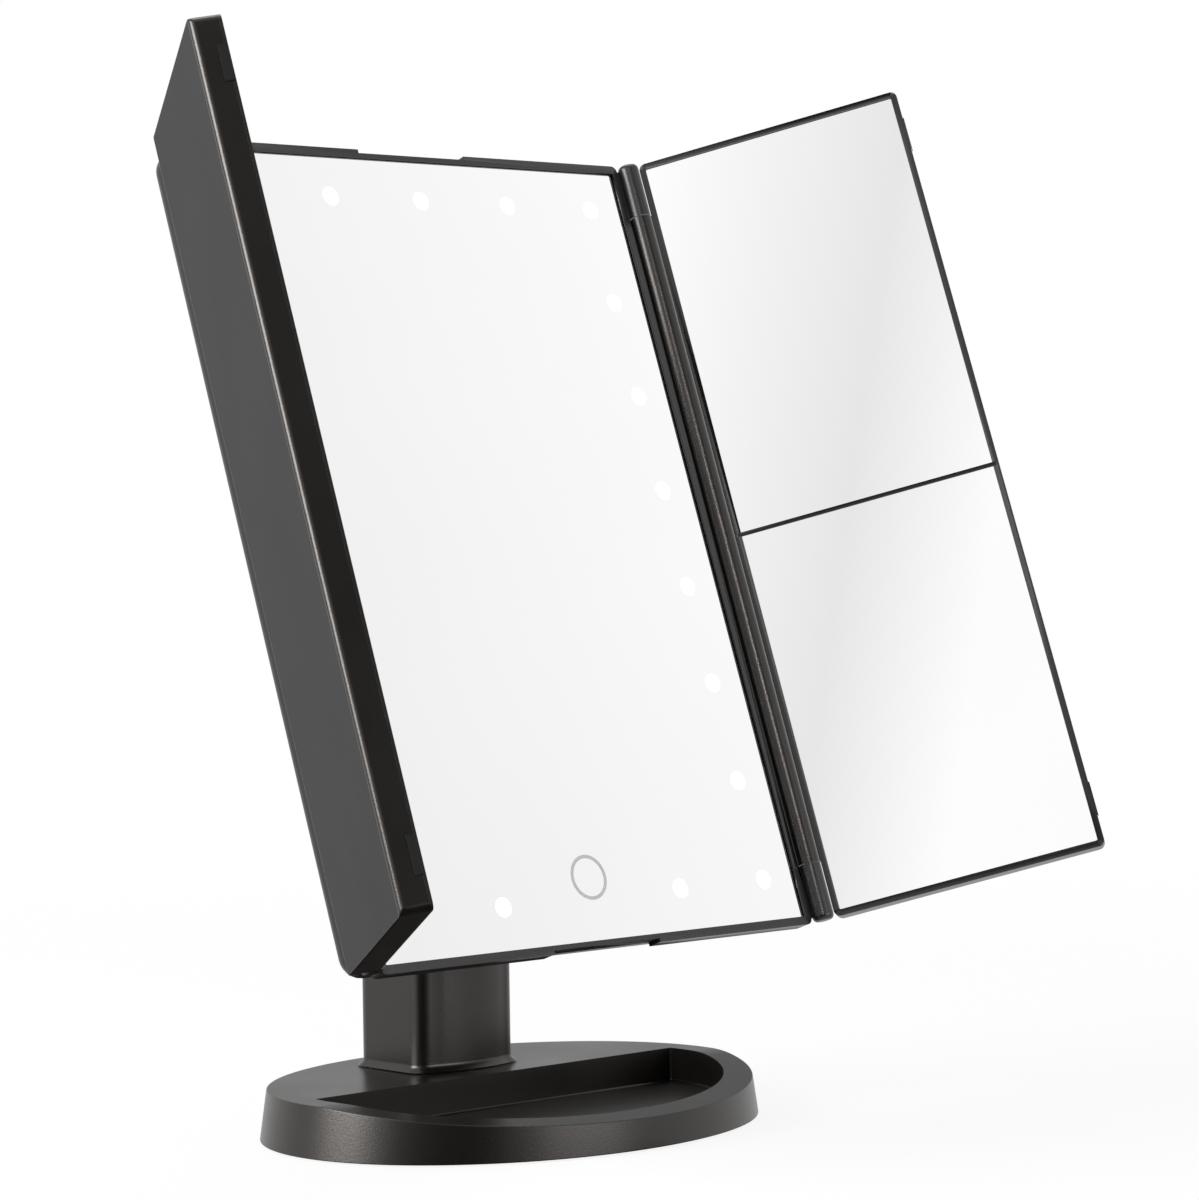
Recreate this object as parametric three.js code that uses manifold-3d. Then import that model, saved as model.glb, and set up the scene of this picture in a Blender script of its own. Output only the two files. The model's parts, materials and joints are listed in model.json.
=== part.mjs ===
// A lighted three-panel makeup mirror on an oval stand with a tray.
// Millimetres, +Z up. X is the user's right, -Y is the side the user sits on,
// and the origin is the middle of the base on the table.
import * as THREE from 'three';
import { mergeVertices } from 'three/addons/utils/BufferGeometryUtils.js';
import Module from 'manifold-3d';

const wasm = await Module();
wasm.setup();

// Clearances
const GAP = 0.3; // air between two pieces that rest on each other
const WELD = 0.5; // how deep two joined shapes reach into each other
const PAST = 1; // how far a cut runs past the face that it opens
const ASIDE = 30; // a side profile is extruded this far past the column's middle
const LEAST_CORNER = 0.4; // the sharpest corner left inside a rounded edge

// Pose of the photographed mirror, in degrees
const HEAD_TILT = 19.4; // the head leans back from upright
const RIGHT_SWING = 50.5; // each wing swings forward from flat open
const LEFT_SWING = 62.0;

// Fasteners
const SCREW_RADIUS = 1.2;
const SCREW_HEAD_RADIUS = 2.7;
const SCREW_HEAD_HEIGHT = 1.6;
const FLAT_HEAD_HEIGHT = 0.7; // the screws under the base
const SCREW_SPARE = 2; // a blind hole is this much deeper than its screw
const BOSS_WALL = 1.6;

// Base
const BASE_LENGTH = 156.2; // along X, at the table
const BASE_DEPTH = 121.4; // along Y, at the table
const BASE_HEIGHT = 14.7;
const BASE_LEAN = 2.2; // the wall leans in by this much on its way up
const BASE_EDGE = 0.8; // rounding between wall and deck
const EDGE_BULGE = 0.3; // the rounding's middle point lies this share of it inside the corner
const SLOPE_LENGTH = 52; // the deck falls over this much of its depth, down to its front edge
const SLOPE_DROP = 5.8; // and ends this much lower there
const BASE_WALL = 2.4;
const SKIRT_LIFT = 0.5; // the wall stops this far above the table
const TRAY_RIM = 8.0; // deck left between tray and outer wall
const TRAY_TO_COLUMN = 13; // deck between the tray's straight wall and the column
const TRAY_DEPTH = 9.8; // below the level part of the deck
const TRAY_FLOOR = 1.8;
const PAD_THICKNESS = 1.0;
const PAD_INSET = 13; // from the base's outline to the pad's
const COVER_THICKNESS = 1.2;
const COVER_CLEARANCE = 0.6; // round the cover's edge
const BALLAST_THICKNESS = 6.0;
const BALLAST_WIDTH = 92;
const BALLAST_INSET = 8; // from the base's wall to the plate's curved rear edge
const BASE_SCREW_INSET = 9.1; // from the end of the base
const BASE_SCREW_Y = 17;

// Column
const COLUMN_WIDTH = 37;
const COLUMN_DEPTH = 29;
const COLUMN_CORNER = 5;
const COLUMN_CROWN = 1.2; // the front face bulges by this much
const COLUMN_INSET = 27.7; // from the rear of the base to the column's middle
const COLUMN_WALL = 2.6;
const COLUMN_FLARE = 1.3; // the foot stands out by this much
const COLUMN_FLARE_HEIGHT = 2.2;
const COLUMN_SHOULDER = 18; // from the pivot down to the full-width part
const COLUMN_BACK_DROP = 30; // the rear face ends this far below the pivot
const COLUMN_SCREW_X = 10.5;
const COLUMN_BOSS_HEIGHT = 26;
const COLUMN_SCREW_BITE = 20; // how far the screws reach up into the bosses
const COLUMN_RIB = 2; // thickness of the ribs between bosses and walls

// Tilt hinge between column and head
const PIVOT_FORWARD = 6; // the pivot sits this far in front of the column's middle
const PIVOT_Z = 118;
const PIVOT_CLEAR = 12.1; // from the bracket plate's back to the pivot
const KNUCKLE_RADIUS = 8.5;
const KNUCKLE_WIDTH = 20.4;
const WASHER_THICKNESS = 0.8;
const WASHER_INSET = 1;
const EAR_THICKNESS = 4.8;
const TILT_BOLT_RADIUS = 2.5;
const TILT_HEAD_RADIUS = 4.4;
const TILT_HEAD_HEIGHT = 2.4;
const TILT_BOLT_TIP = 1; // the bolt's end shows past its nut
const CAP_INSET = 0.9; // the caps are this much smaller than the ears
const CAP_WALL = 1.4;
const BRACKET_MARGIN = 5; // from the screws to the ends of the bracket plate
const BRACKET_HEIGHT = 28;
const BRACKET_PLATE = 3.0;
const BRACKET_CORNER = 4;
const BRACKET_SCREW_BITE = 5;
const BRACKET_SCREW_CLEAR = 2.9; // between the screw heads and the ears
const EAR_FOOT_INSET = 3; // from the plate's ends to the foot of each ear

// Head: local x across, y up the panel, z out of the glass towards the user
const HEAD_WIDTH = 162.8;
const HEAD_HEIGHT = 239.6;
const HEAD_CORNER = 2.0;
const PIVOT_DOWN = 36.6; // from the middle of the glass down to the tilt pivot
const BEZEL_SIDE = 2.1; // visible frame beside the glass
const BEZEL_END = 2.5; // visible frame above and below the glass
const FRAME_WALL = 1.2;
const FRAME_END_WALL = 1.6;
const FRAME_OVERLAP = 1.0; // the frame's wall reaches this far past the glass
const LIP_THICKNESS = 0.6;
const NOTCH_WIDTH = 40; // finger notch in the top and bottom edges
const NOTCH_DEPTH = 1.1;
const GLASS_THICKNESS = 3.0;
const CARRIER_THICKNESS = 1.0;
const CARRIER_SKIN = 0.4; // left in front of the carrier's blind screw holes
const HOUSING_DEPTH = 7.0; // from the frame's rear edge to the housing's back
const HOUSING_WALL = 2.0;
const HOUSING_CORNER = 6;
const HOUSING_ROUND = 4.0; // soft edge round the back
const HOUSING_INSET = 1.3; // the housing stays this far inside the frame at both ends
const HOUSING_WIDER = 5.6; // and reaches this far past it at the sides, behind the wings' barrels
const HOUSING_LEDGE = 1.5; // wall of the rim that plugs into the frame
const HOUSING_SCREW_INSET_X = 31.4; // from the head's outline
const HOUSING_SCREW_INSET_Y = 31.8;

// Lighting
const LED_STEPS = 7; // spaces from the bottom row to the top row
const LED_SIDE_INSET = 14.4; // from the head's side to the LED column
const LED_END_INSET = 14.8; // from the head's top or bottom to the LED row
const LED_WIDTH = 3.0;
const LED_HEIGHT = 0.8;
const BOARD_THICKNESS = 1.0;
const BOARD_BAND = 15; // width of the ring-shaped board
const BOARD_MARGIN = 7.5; // from the LED centres to the board's outer edge
const BOARD_CORNER = 2;
const BOARD_POST_RADIUS = 2.5;
const TOUCH_Y_ABOVE_ROW = 5.9; // touch mark above the bottom LED row
const ELECTRODE_RADIUS = 6.0;
const ELECTRODE_SINK = 0.1; // the disc is this much thinner than the carrier

// Battery pod on the back of the head
const POD_TOP = 50; // above the middle of the glass
const POD_BOTTOM = -66;
const POD_SIDE = 3.6; // the pod's wall beside the door's groove
const POD_ROUND = 4.0; // soft edge round its back
const POD_CORNER = 6.0;
const CELL_RADIUS = 7.1; // AA cell
const CELL_LENGTH = 49.5;
const CELL_NUB = 1.0;
const CELL_NUB_RADIUS = 2.7;
const CELL_PITCH = 15.0;
const CELL_COUNT = 4;
const SPRING_LENGTH = 4.6;
const SPRING_RADIUS = 3.55;
const SPRING_TIP_RADIUS = 2.13;
const CONTACT_THICKNESS = 0.6;
const CONTACT_HALF_HEIGHT = 4.97;
const BAY_WALL = 1.5;
const BAY_SUNK = 1.3; // the bay reaches this far in front of the housing's back
const BAY_END = 5; // from the pod's top to the inner end of the bay
const DOOR_THICKNESS = 1.7;
const DOOR_OVERLAP = 2.6; // the door covers the bay's rim by this much
const TONGUE = 1.2; // side tongue that runs in the pod's groove
const TONGUE_THICKNESS = 0.7;
const GRIP_RIBS = 5;
const GRIP_PITCH = 2.4;
const GRIP_WIDTH = 18;
const GRIP_HEIGHT = 1.2;
const GRIP_DEPTH = 0.5;
const GRIP_DOWN = 8; // from the pod's top to the first grip groove

// Electronics in the pod
const CONTROL_WIDTH = 60;
const CONTROL_HEIGHT = 30;
const CONTROL_UP = 24; // from the pod's bottom to the middle of the board
const CONTROL_STANDOFF = 6; // from the pod's back to the board
const CHIP_WIDTH = 10;
const CHIP_HEIGHT = 7;
const CHIP_THICKNESS = 1.6;
const CHIP_X = -1;
const COIL_RADIUS = 3.2;
const COIL_HEIGHT = 4;
const COIL_PLACE = [14, 6]; // from the middle of the board
const CAPACITOR_RADIUS = 2.5;
const CAPACITOR_HEIGHT = 5;
const CAPACITOR_PLACE = [-15, -5];
const SWITCH_UP = 2; // the switch sits above the middle of the board
const SWITCH_TRAVEL = 4.0;
const SWITCH_KNOB_LENGTH = 5.0;
const SWITCH_KNOB_WIDTH = 3.0;
const SWITCH_PROUD = 1.2;
const SWITCH_BODY = 5.0;
const SWITCH_BODY_DEPTH = 7.0;
const SWITCH_BODY_END = 1.5; // of the switch body past its slot
const SWITCH_RIB_PITCH = 1.5;
const SWITCH_RIB_WIDTH = 0.7;
const SWITCH_RIB_DEPTH = 0.4;
const USB_UP = -2; // the socket sits below the middle of the board
const USB_WIDTH = 8.0;
const USB_HEIGHT = 3.2;
const USB_DEPTH = 6.0;
const USB_SHELL = 0.4;
const LEAD_RADIUS = 0.9;
const LEAD_X = 20;
const LEAD_STRAIGHT = 8; // the lead leaves each board over this length
const LEAD_LIFT = 1; // how far it rises there from the control board
const LEAD_UPPER_LENGTH = 9; // it dips from this far above the pod's bottom
const LEAD_LOWER_LENGTH = 6; // to this far below it
const LEAD_OFF_FLOOR = 1.5; // and clears the housing's floor by this much

// Wings: local x away from the hinge, y up, z out of the glass
const BARREL_RADIUS = 3.2;
const BARREL_CLEARANCE = 0.45; // between the barrels and the side of the frame
const KNUCKLE_LENGTH = 17.0; // fixed knuckles on the frame
const KNUCKLE_TIP = 0.6; // a knuckle's domed end narrows to this share
const HINGE_PIN_RADIUS = 1.0;
const HINGE_PIN_LENGTH = 22;
const WING_NECK = 0.2; // from the barrel to the wing's near edge
const WING_SHORTER = 1.6; // the wings are this much shorter than the head
const WING_DROP = 0.5; // and sit this much lower
const WING_BACK = 7.7; // back face behind the glass face
const WING_WALL = 1.1;
const WING_FLOOR = 1.6;
const WING_CORNER = 2.0;
const WING_ROUND = 1.2; // rounding round the wing's back edge
const WING_BEZEL = 1.9;
const WING_GLASS = 2.0;
const DIVIDER_WIDTH = 1.2; // bar between the two mirrors of the right wing
const DIVIDER_Y = -1.5;
const TAB_LENGTH = 10;
const TAB_PROUD = 0.3; // snap tabs show on the free edge
const TAB_CLEARANCE = 0.1; // between a tab and its window
const TAB_END_OFFSET = 14; // tab middle from the wing's top or bottom

// Colours and finishes of the real object
const finish = {
  black: { color: 0x2b2a29, roughness: 0.45, metalness: 0 },
  satin: { color: 0x353433, roughness: 0.5, metalness: 0 },
  mirror: { color: 0xf2f3f4, roughness: 0.03, metalness: 1 },
  steel: { color: 0xb8babd, roughness: 0.35, metalness: 1 },
  zinc: { color: 0x8d8f92, roughness: 0.5, metalness: 0.8 },
  rubber: { color: 0x191919, roughness: 0.9, metalness: 0 },
  white: { color: 0xf4f3ef, roughness: 0.6, metalness: 0 },
  board: { color: 0xe9ebe6, roughness: 0.6, metalness: 0 },
  green: { color: 0x1f5a3a, roughness: 0.5, metalness: 0 },
  copper: { color: 0xb87347, roughness: 0.4, metalness: 1 },
  cell: { color: 0x3c6e8f, roughness: 0.4, metalness: 0.2 },
  foam: { color: 0x4a4a4a, roughness: 1, metalness: 0 },
};

const degrees = (angle) => THREE.MathUtils.degToRad(angle);

// Makes a watertight solid from any closed three.js geometry.
function solid(geometry) {
  const bare = geometry.clone();
  bare.deleteAttribute('normal');
  bare.deleteAttribute('uv');
  const merged = mergeVertices(bare, 1e-4);
  const points = merged.attributes.position.array;
  const corners = [];
  const index = merged.index.array;
  let volume = 0;
  for (let i = 0; i < index.length; i += 3) {
    const [a, b, c] = [index[i], index[i + 1], index[i + 2]];
    if (a === b || b === c || c === a) continue;
    corners.push(a, b, c);
    const [p, q, r] = [a, b, c].map((k) => new THREE.Vector3().fromArray(points, 3 * k));
    volume += p.dot(q.cross(r));
  }
  if (volume < 0) corners.reverse();
  return new wasm.Manifold(
    new wasm.Mesh({
      numProp: 3,
      vertProperties: new Float32Array(points),
      triVerts: new Uint32Array(corners),
    }),
  );
}

const join = (first, ...others) => others.reduce((whole, next) => whole.add(next), first);
const cut = (first, ...others) => others.reduce((rest, next) => rest.subtract(next), first);

function toGeometry(manifold) {
  const mesh = manifold.getMesh();
  const geometry = new THREE.BufferGeometry();
  geometry.setAttribute('position', new THREE.BufferAttribute(mesh.vertProperties, 3));
  geometry.setIndex(new THREE.BufferAttribute(mesh.triVerts, 1));
  geometry.computeVertexNormals();
  return geometry;
}

// Adds one named piece to a group.
function piece(group, name, manifold, look) {
  const mesh = new THREE.Mesh(toGeometry(manifold), new THREE.MeshStandardMaterial(finish[look]));
  mesh.name = name;
  group.add(mesh);
  return mesh;
}

function box(x0, x1, y0, y1, z0, z1) {
  const geometry = new THREE.BoxGeometry(x1 - x0, y1 - y0, z1 - z0);
  geometry.translate((x0 + x1) / 2, (y0 + y1) / 2, (z0 + z1) / 2);
  return solid(geometry);
}

// A round bar along 'x', 'y' or 'z', from one coordinate to another on that axis.
function rod(axis, radius, from, to, at, sides = 24, endRadius = radius) {
  const geometry = new THREE.CylinderGeometry(endRadius, radius, to - from, sides);
  geometry.translate(0, (from + to) / 2, 0);
  if (axis === 'x') geometry.rotateZ(-Math.PI / 2);
  if (axis === 'z') geometry.rotateX(Math.PI / 2);
  geometry.translate(at[0], at[1], at[2]);
  return solid(geometry);
}

// Extrudes a flat shape in x and y from one height to another.
function slab(shape, from, to, curveSegments = 5) {
  const settings = { depth: to - from, bevelEnabled: false, curveSegments };
  const geometry = new THREE.ExtrudeGeometry(shape, settings);
  geometry.translate(0, 0, from);
  return solid(geometry);
}

function roundedRect(x0, x1, y0, y1, radius) {
  const shape = new THREE.Shape();
  shape.moveTo(x0 + radius, y0);
  shape.lineTo(x1 - radius, y0);
  shape.absarc(x1 - radius, y0 + radius, radius, -Math.PI / 2, 0, false);
  shape.lineTo(x1, y1 - radius);
  shape.absarc(x1 - radius, y1 - radius, radius, 0, Math.PI / 2, false);
  shape.lineTo(x0 + radius, y1);
  shape.absarc(x0 + radius, y1 - radius, radius, Math.PI / 2, Math.PI, false);
  shape.lineTo(x0, y0 + radius);
  shape.absarc(x0 + radius, y0 + radius, radius, Math.PI, 1.5 * Math.PI, false);
  return shape;
}

// A block with rounded corners whose back edge, at z = back, is rounded too.
function softBackBlock(x0, x1, y0, y1, corner, back, front, round, steps = 3) {
  const innerCorner = Math.max(corner - round, LEAST_CORNER);
  const inner = roundedRect(x0 + round, x1 - round, y0 + round, y1 - round, innerCorner);
  const settings = {
    depth: front - back + round,
    bevelEnabled: true,
    bevelThickness: round,
    bevelSize: round,
    bevelSegments: steps,
    curveSegments: 4,
  };
  const geometry = new THREE.ExtrudeGeometry(inner, settings);
  geometry.translate(0, 0, back + round);
  const spare = 2 * round + PAST;
  const trimmed = box(x0 - spare, x1 + spare, y0 - spare, y1 + spare, front, front + 2 * spare);
  return solid(geometry).subtract(trimmed);
}

// A pan-head screw along z. Its head sits at the headSide of 'seat'.
function screw(at, seat, tip, radius = SCREW_RADIUS, headRadius = SCREW_HEAD_RADIUS) {
  const out = Math.sign(seat - tip);
  const [x, y] = at;
  const outer = seat + out * SCREW_HEAD_HEIGHT;
  const head = rod('z', headRadius, Math.min(seat, outer), Math.max(seat, outer), [x, y, 0], 16);
  const inner = seat + out * WELD;
  const shaft = rod('z', radius, Math.min(tip, inner), Math.max(tip, inner), [x, y, 0], 12);
  return join(head, shaft);
}

const object = new THREE.Group();

// Base
const baseHalf = BASE_LENGTH / 2;
const baseRatio = BASE_DEPTH / BASE_LENGTH;
const deckHalf = baseHalf - BASE_LEAN;
const columnY = BASE_DEPTH / 2 - COLUMN_INSET;
const trayBackY = columnY - COLUMN_DEPTH / 2 - TRAY_TO_COLUMN;
const trayFloorZ = BASE_HEIGHT - TRAY_DEPTH;
const coverLow = PAD_THICKNESS + GAP;
const coverHigh = coverLow + COVER_THICKNESS;
const baseScrewX = baseHalf - BASE_SCREW_INSET;
const screwBossRadius = SCREW_RADIUS + GAP + BOSS_WALL;

// An oval made by turning a profile of [radius, height] points and squeezing it along Y.
function oval(profile, sides = 72) {
  const points = profile.map(([radius, height]) => new THREE.Vector2(radius, height));
  const geometry = new THREE.LatheGeometry(points, sides);
  geometry.rotateX(Math.PI / 2);
  geometry.scale(1, baseRatio, 1);
  return solid(geometry);
}

// The tray's outline: the front half of an oval, closed by the straight back wall.
function trayShape(grow) {
  const shape = new THREE.Shape();
  const a = deckHalf - TRAY_RIM + grow;
  const b = deckHalf * baseRatio - TRAY_RIM + grow;
  const backY = trayBackY + grow;
  const start = Math.asin(backY / b);
  shape.absellipse(0, 0, a, b, Math.PI - start, 2 * Math.PI + start, false, 0);
  shape.closePath();
  return shape;
}

// Side view of the space above the sloping front of the deck, moved down by 'lower'.
function aboveSlope(lower) {
  const front = -BASE_DEPTH / 2 - PAST;
  const start = SLOPE_LENGTH - BASE_DEPTH / 2;
  const top = BASE_HEIGHT + PAST;
  const slope = SLOPE_DROP / SLOPE_LENGTH;
  const shape = new THREE.Shape();
  shape.moveTo(front, BASE_HEIGHT - lower - slope * (start - front));
  shape.lineTo(start + (PAST + lower) / slope, top);
  shape.lineTo(front, top);
  shape.closePath();
  return shape;
}

function baseScrewPlaces() {
  const places = [];
  for (const x of [-baseScrewX, baseScrewX]) {
    for (const y of [-BASE_SCREW_Y, BASE_SCREW_Y]) places.push([x, y]);
  }
  return places;
}

function makeBase(group) {
  const edgeZ = BASE_HEIGHT - BASE_EDGE;
  const outer = oval([
    [0, SKIRT_LIFT],
    [baseHalf, SKIRT_LIFT],
    [deckHalf, edgeZ],
    [deckHalf - EDGE_BULGE * BASE_EDGE, edgeZ + (1 - EDGE_BULGE) * BASE_EDGE],
    [deckHalf - BASE_EDGE, BASE_HEIGHT],
    [0, BASE_HEIGHT],
  ]);
  const inner = oval([
    [0, -PAST],
    [baseHalf - BASE_WALL, -PAST],
    [deckHalf - BASE_WALL, BASE_HEIGHT - BASE_WALL],
    [0, BASE_HEIGHT - BASE_WALL],
  ]);
  const trayBlock = slab(trayShape(BASE_WALL), trayFloorZ - TRAY_FLOOR, BASE_HEIGHT - WELD, 30);
  const tray = slab(trayShape(0), trayFloorZ, BASE_HEIGHT + PAST, 30);
  const bosses = baseScrewPlaces().map(([x, y]) =>
    rod('z', screwBossRadius, coverHigh + GAP, BASE_HEIGHT - BASE_WALL + WELD, [x, y, 0], 16),
  );
  const bossHoles = baseScrewPlaces().map(([x, y]) =>
    rod('z', SCREW_RADIUS + GAP, 0, BASE_HEIGHT - 2 * BASE_WALL, [x, y, 0], 12),
  );
  const columnHoles = [-COLUMN_SCREW_X, COLUMN_SCREW_X].map((x) =>
    rod('z', SCREW_RADIUS + GAP, 0, BASE_HEIGHT + PAST, [x, columnY, 0], 12),
  );
  const overDeck = sideSlab(aboveSlope(0), -BASE_LENGTH, BASE_LENGTH);
  const hollow = cut(inner, sideSlab(aboveSlope(BASE_WALL), -BASE_LENGTH, BASE_LENGTH));
  const shell = cut(
    join(cut(outer, hollow), trayBlock.intersect(outer), ...bosses),
    overDeck,
    tray,
    ...bossHoles,
    ...columnHoles,
  );
  piece(group, 'base_shell', shell, 'black');

  const coverInset = BASE_WALL + COVER_CLEARANCE;
  const cover = oval([
    [0, coverLow],
    [baseHalf - coverInset, coverLow],
    [baseHalf - coverInset, coverHigh],
    [0, coverHigh],
  ]);
  const coverHoles = baseScrewPlaces().map(([x, y]) =>
    rod('z', SCREW_RADIUS + GAP, 0, coverHigh + PAST, [x, y, 0], 12),
  );
  piece(group, 'base_cover', cut(cover, ...coverHoles), 'black');

  const pad = oval([
    [0, 0],
    [baseHalf - PAD_INSET, 0],
    [baseHalf - PAD_INSET, PAD_THICKNESS],
    [0, PAD_THICKNESS],
  ]);
  piece(group, 'base_pad', pad, 'rubber');

  const ballastLow = coverHigh + GAP;
  const ballastHigh = ballastLow + BALLAST_THICKNESS;
  const ballastFront = trayBackY + BASE_WALL + GAP;
  const ballastOval = oval([
    [0, ballastLow],
    [baseHalf - BASE_WALL - BALLAST_INSET, ballastLow],
    [baseHalf - BASE_WALL - BALLAST_INSET, ballastHigh],
    [0, ballastHigh],
  ]);
  const ballastHalf = BALLAST_WIDTH / 2;
  const ballastSpan = box(
    -ballastHalf, ballastHalf, ballastFront, BASE_DEPTH, ballastLow - PAST, ballastHigh + PAST);
  const screwWells = [-COLUMN_SCREW_X, COLUMN_SCREW_X].map((x) =>
    rod('z', SCREW_HEAD_RADIUS + GAP, 0, BASE_HEIGHT, [x, columnY, 0], 16),
  );
  piece(group, 'ballast_plate', cut(ballastOval.intersect(ballastSpan), ...screwWells), 'zinc');

  baseScrewPlaces().forEach(([x, y], i) => {
    const seat = coverLow - GAP;
    const tip = BASE_HEIGHT - 2 * BASE_WALL - SCREW_SPARE / 2;
    const head = rod('z', SCREW_HEAD_RADIUS, seat - FLAT_HEAD_HEIGHT, seat, [x, y, 0], 16);
    const shaft = rod('z', SCREW_RADIUS, seat - FLAT_HEAD_HEIGHT / 2, tip, [x, y, 0], 12);
    piece(group, `base_screw_${i + 1}`, join(head, shaft), 'steel');
  });
}

// Column with the fixed knuckle of the tilt hinge on top
const pivotY = columnY - PIVOT_FORWARD;

// Flat section of the column, grown or shrunk all round
function columnSection(grow) {
  const half = COLUMN_WIDTH / 2 + grow;
  const front = columnY - COLUMN_DEPTH / 2 - grow;
  const back = columnY + COLUMN_DEPTH / 2 + grow;
  const corner = COLUMN_CORNER + grow;
  const shape = new THREE.Shape();
  shape.moveTo(-half + corner, front);
  shape.quadraticCurveTo(0, front - 2 * COLUMN_CROWN, half - corner, front);
  shape.absarc(half - corner, front + corner, corner, -Math.PI / 2, 0, false);
  shape.lineTo(half, back - corner);
  shape.absarc(half - corner, back - corner, corner, 0, Math.PI / 2, false);
  shape.lineTo(-half + corner, back);
  shape.absarc(-half + corner, back - corner, corner, Math.PI / 2, Math.PI, false);
  shape.lineTo(-half, front + corner);
  shape.absarc(-half + corner, front + corner, corner, Math.PI, 1.5 * Math.PI, false);
  return shape;
}

// Side view of the column: y runs along the shape's x and z along its y.
function columnSide(inset) {
  const front = columnY - COLUMN_DEPTH / 2 - 2 * COLUMN_CROWN - COLUMN_CORNER;
  const back = columnY + COLUMN_DEPTH / 2 + COLUMN_CORNER;
  const radius = KNUCKLE_RADIUS - inset;
  const shape = new THREE.Shape();
  shape.moveTo(front, 0);
  shape.lineTo(back, 0);
  shape.lineTo(back, PIVOT_Z - COLUMN_BACK_DROP - inset);
  shape.lineTo(pivotY + radius, PIVOT_Z);
  shape.absarc(pivotY, PIVOT_Z, radius, 0, Math.PI, false);
  shape.lineTo(front, PIVOT_Z - COLUMN_SHOULDER - inset);
  return shape;
}

// Turns a shape drawn in y and z into a block along X.
function sideSlab(shape, from, to, curveSegments = 12) {
  const settings = { depth: to - from, bevelEnabled: false, curveSegments };
  const geometry = new THREE.ExtrudeGeometry(shape, settings);
  geometry.rotateY(Math.PI / 2);
  geometry.rotateX(Math.PI / 2);
  geometry.translate(from, 0, 0);
  return solid(geometry);
}

function makeColumn(group) {
  const foot = BASE_HEIGHT + GAP;
  const top = PIVOT_Z + KNUCKLE_RADIUS + PAST;
  const shoulder = PIVOT_Z - COLUMN_SHOULDER;
  const flareTop = foot + COLUMN_FLARE_HEIGHT;
  const body = slab(columnSection(0), foot, top).intersect(sideSlab(columnSide(0), -ASIDE, ASIDE));
  const flare = slab(columnSection(COLUMN_FLARE), foot, foot + COLUMN_FLARE_HEIGHT / 3);
  const flareStep = slab(columnSection(COLUMN_FLARE / 2), foot, flareTop - COLUMN_FLARE_HEIGHT / 3);
  const hollow = slab(columnSection(-COLUMN_WALL), foot - PAST, shoulder - COLUMN_WALL);
  const hollowSide = sideSlab(columnSide(COLUMN_WALL), -ASIDE, ASIDE);
  const cheeks = [-1, 1].map((side) => {
    const near = side > 0 ? KNUCKLE_WIDTH / 2 : -COLUMN_WIDTH;
    const far = side > 0 ? COLUMN_WIDTH : -KNUCKLE_WIDTH / 2;
    return box(near, far, columnY - COLUMN_DEPTH, columnY + COLUMN_DEPTH, shoulder, top + PAST);
  });
  const bolt = rod('x', TILT_BOLT_RADIUS + GAP, -COLUMN_WIDTH, COLUMN_WIDTH, [0, pivotY, PIVOT_Z]);
  const bossTop = foot + COLUMN_BOSS_HEIGHT;
  const screwTip = foot + COLUMN_SCREW_BITE;
  const bossParts = [-COLUMN_SCREW_X, COLUMN_SCREW_X].map((x) => {
    const wallX = Math.sign(x) * (COLUMN_WIDTH / 2 - COLUMN_WALL + WELD);
    const [ribX0, ribX1] = [Math.min(x, wallX), Math.max(x, wallX)];
    const rib = box(ribX0, ribX1, columnY - COLUMN_RIB / 2, columnY + COLUMN_RIB / 2, foot, bossTop);
    return join(rod('z', screwBossRadius, foot, bossTop, [x, columnY, 0], 16), rib);
  });
  const bossHoles = [-COLUMN_SCREW_X, COLUMN_SCREW_X].map((x) =>
    rod('z', SCREW_RADIUS + GAP, foot - PAST, screwTip + SCREW_SPARE, [x, columnY, 0], 12),
  );
  const shell = cut(
    join(body, flare, flareStep),
    hollow.intersect(hollowSide),
    ...cheeks,
    bolt,
  );
  piece(group, 'column', cut(join(shell, ...bossParts), ...bossHoles), 'black');

  [-COLUMN_SCREW_X, COLUMN_SCREW_X].forEach((x, i) => {
    const seat = BASE_HEIGHT - BASE_WALL - GAP;
    piece(group, `column_screw_${i + 1}`, screw([x, columnY], seat, screwTip), 'steel');
  });
}

// The head's own frame: x across, y up the panel, z towards the user.
const frameDepth = GLASS_THICKNESS + FRAME_OVERLAP;
const housingBack = frameDepth + HOUSING_DEPTH;
const podBack = housingBack - BAY_SUNK + 2 * CELL_RADIUS + 3 * GAP + DOOR_THICKNESS;
const pivotBack = podBack + GAP + BRACKET_PLATE + PIVOT_CLEAR;
const ledSideX = HEAD_WIDTH / 2 - LED_SIDE_INSET;
const glassHalfX = HEAD_WIDTH / 2 - FRAME_WALL - GAP;
const glassHalfY = HEAD_HEIGHT / 2 - FRAME_END_WALL - GAP;
const openHalfX = HEAD_WIDTH / 2 - BEZEL_SIDE;
const openHalfY = HEAD_HEIGHT / 2 - BEZEL_END;
const lipFront = GAP + LIP_THICKNESS;
const hingeX = HEAD_WIDTH / 2 + BARREL_RADIUS + BARREL_CLEARANCE;
const hingeForward = 2 * lipFront + GAP;
const wingStart = BARREL_RADIUS + WING_NECK;
const wingEnd = hingeX - TAB_PROUD - GAP / 2;
const wingHeight = HEAD_HEIGHT - WING_SHORTER;
const ledRowY = HEAD_HEIGHT / 2 - LED_END_INSET;
const ledPitch = (2 * ledRowY) / LED_STEPS;
const ledRowStep = ledSideX / 2;
const carrierBack = -GLASS_THICKNESS - GAP - CARRIER_THICKNESS;
const chipFront = carrierBack - GAP;
const boardFront = chipFront - LED_HEIGHT;
const boardBack = boardFront - BOARD_THICKNESS;
const plugHalfX = glassHalfX - GAP;
const plugHalfY = glassHalfY - GAP;
const insideHalfX = plugHalfX - HOUSING_LEDGE;
const insideHalfY = plugHalfY - HOUSING_LEDGE;
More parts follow.
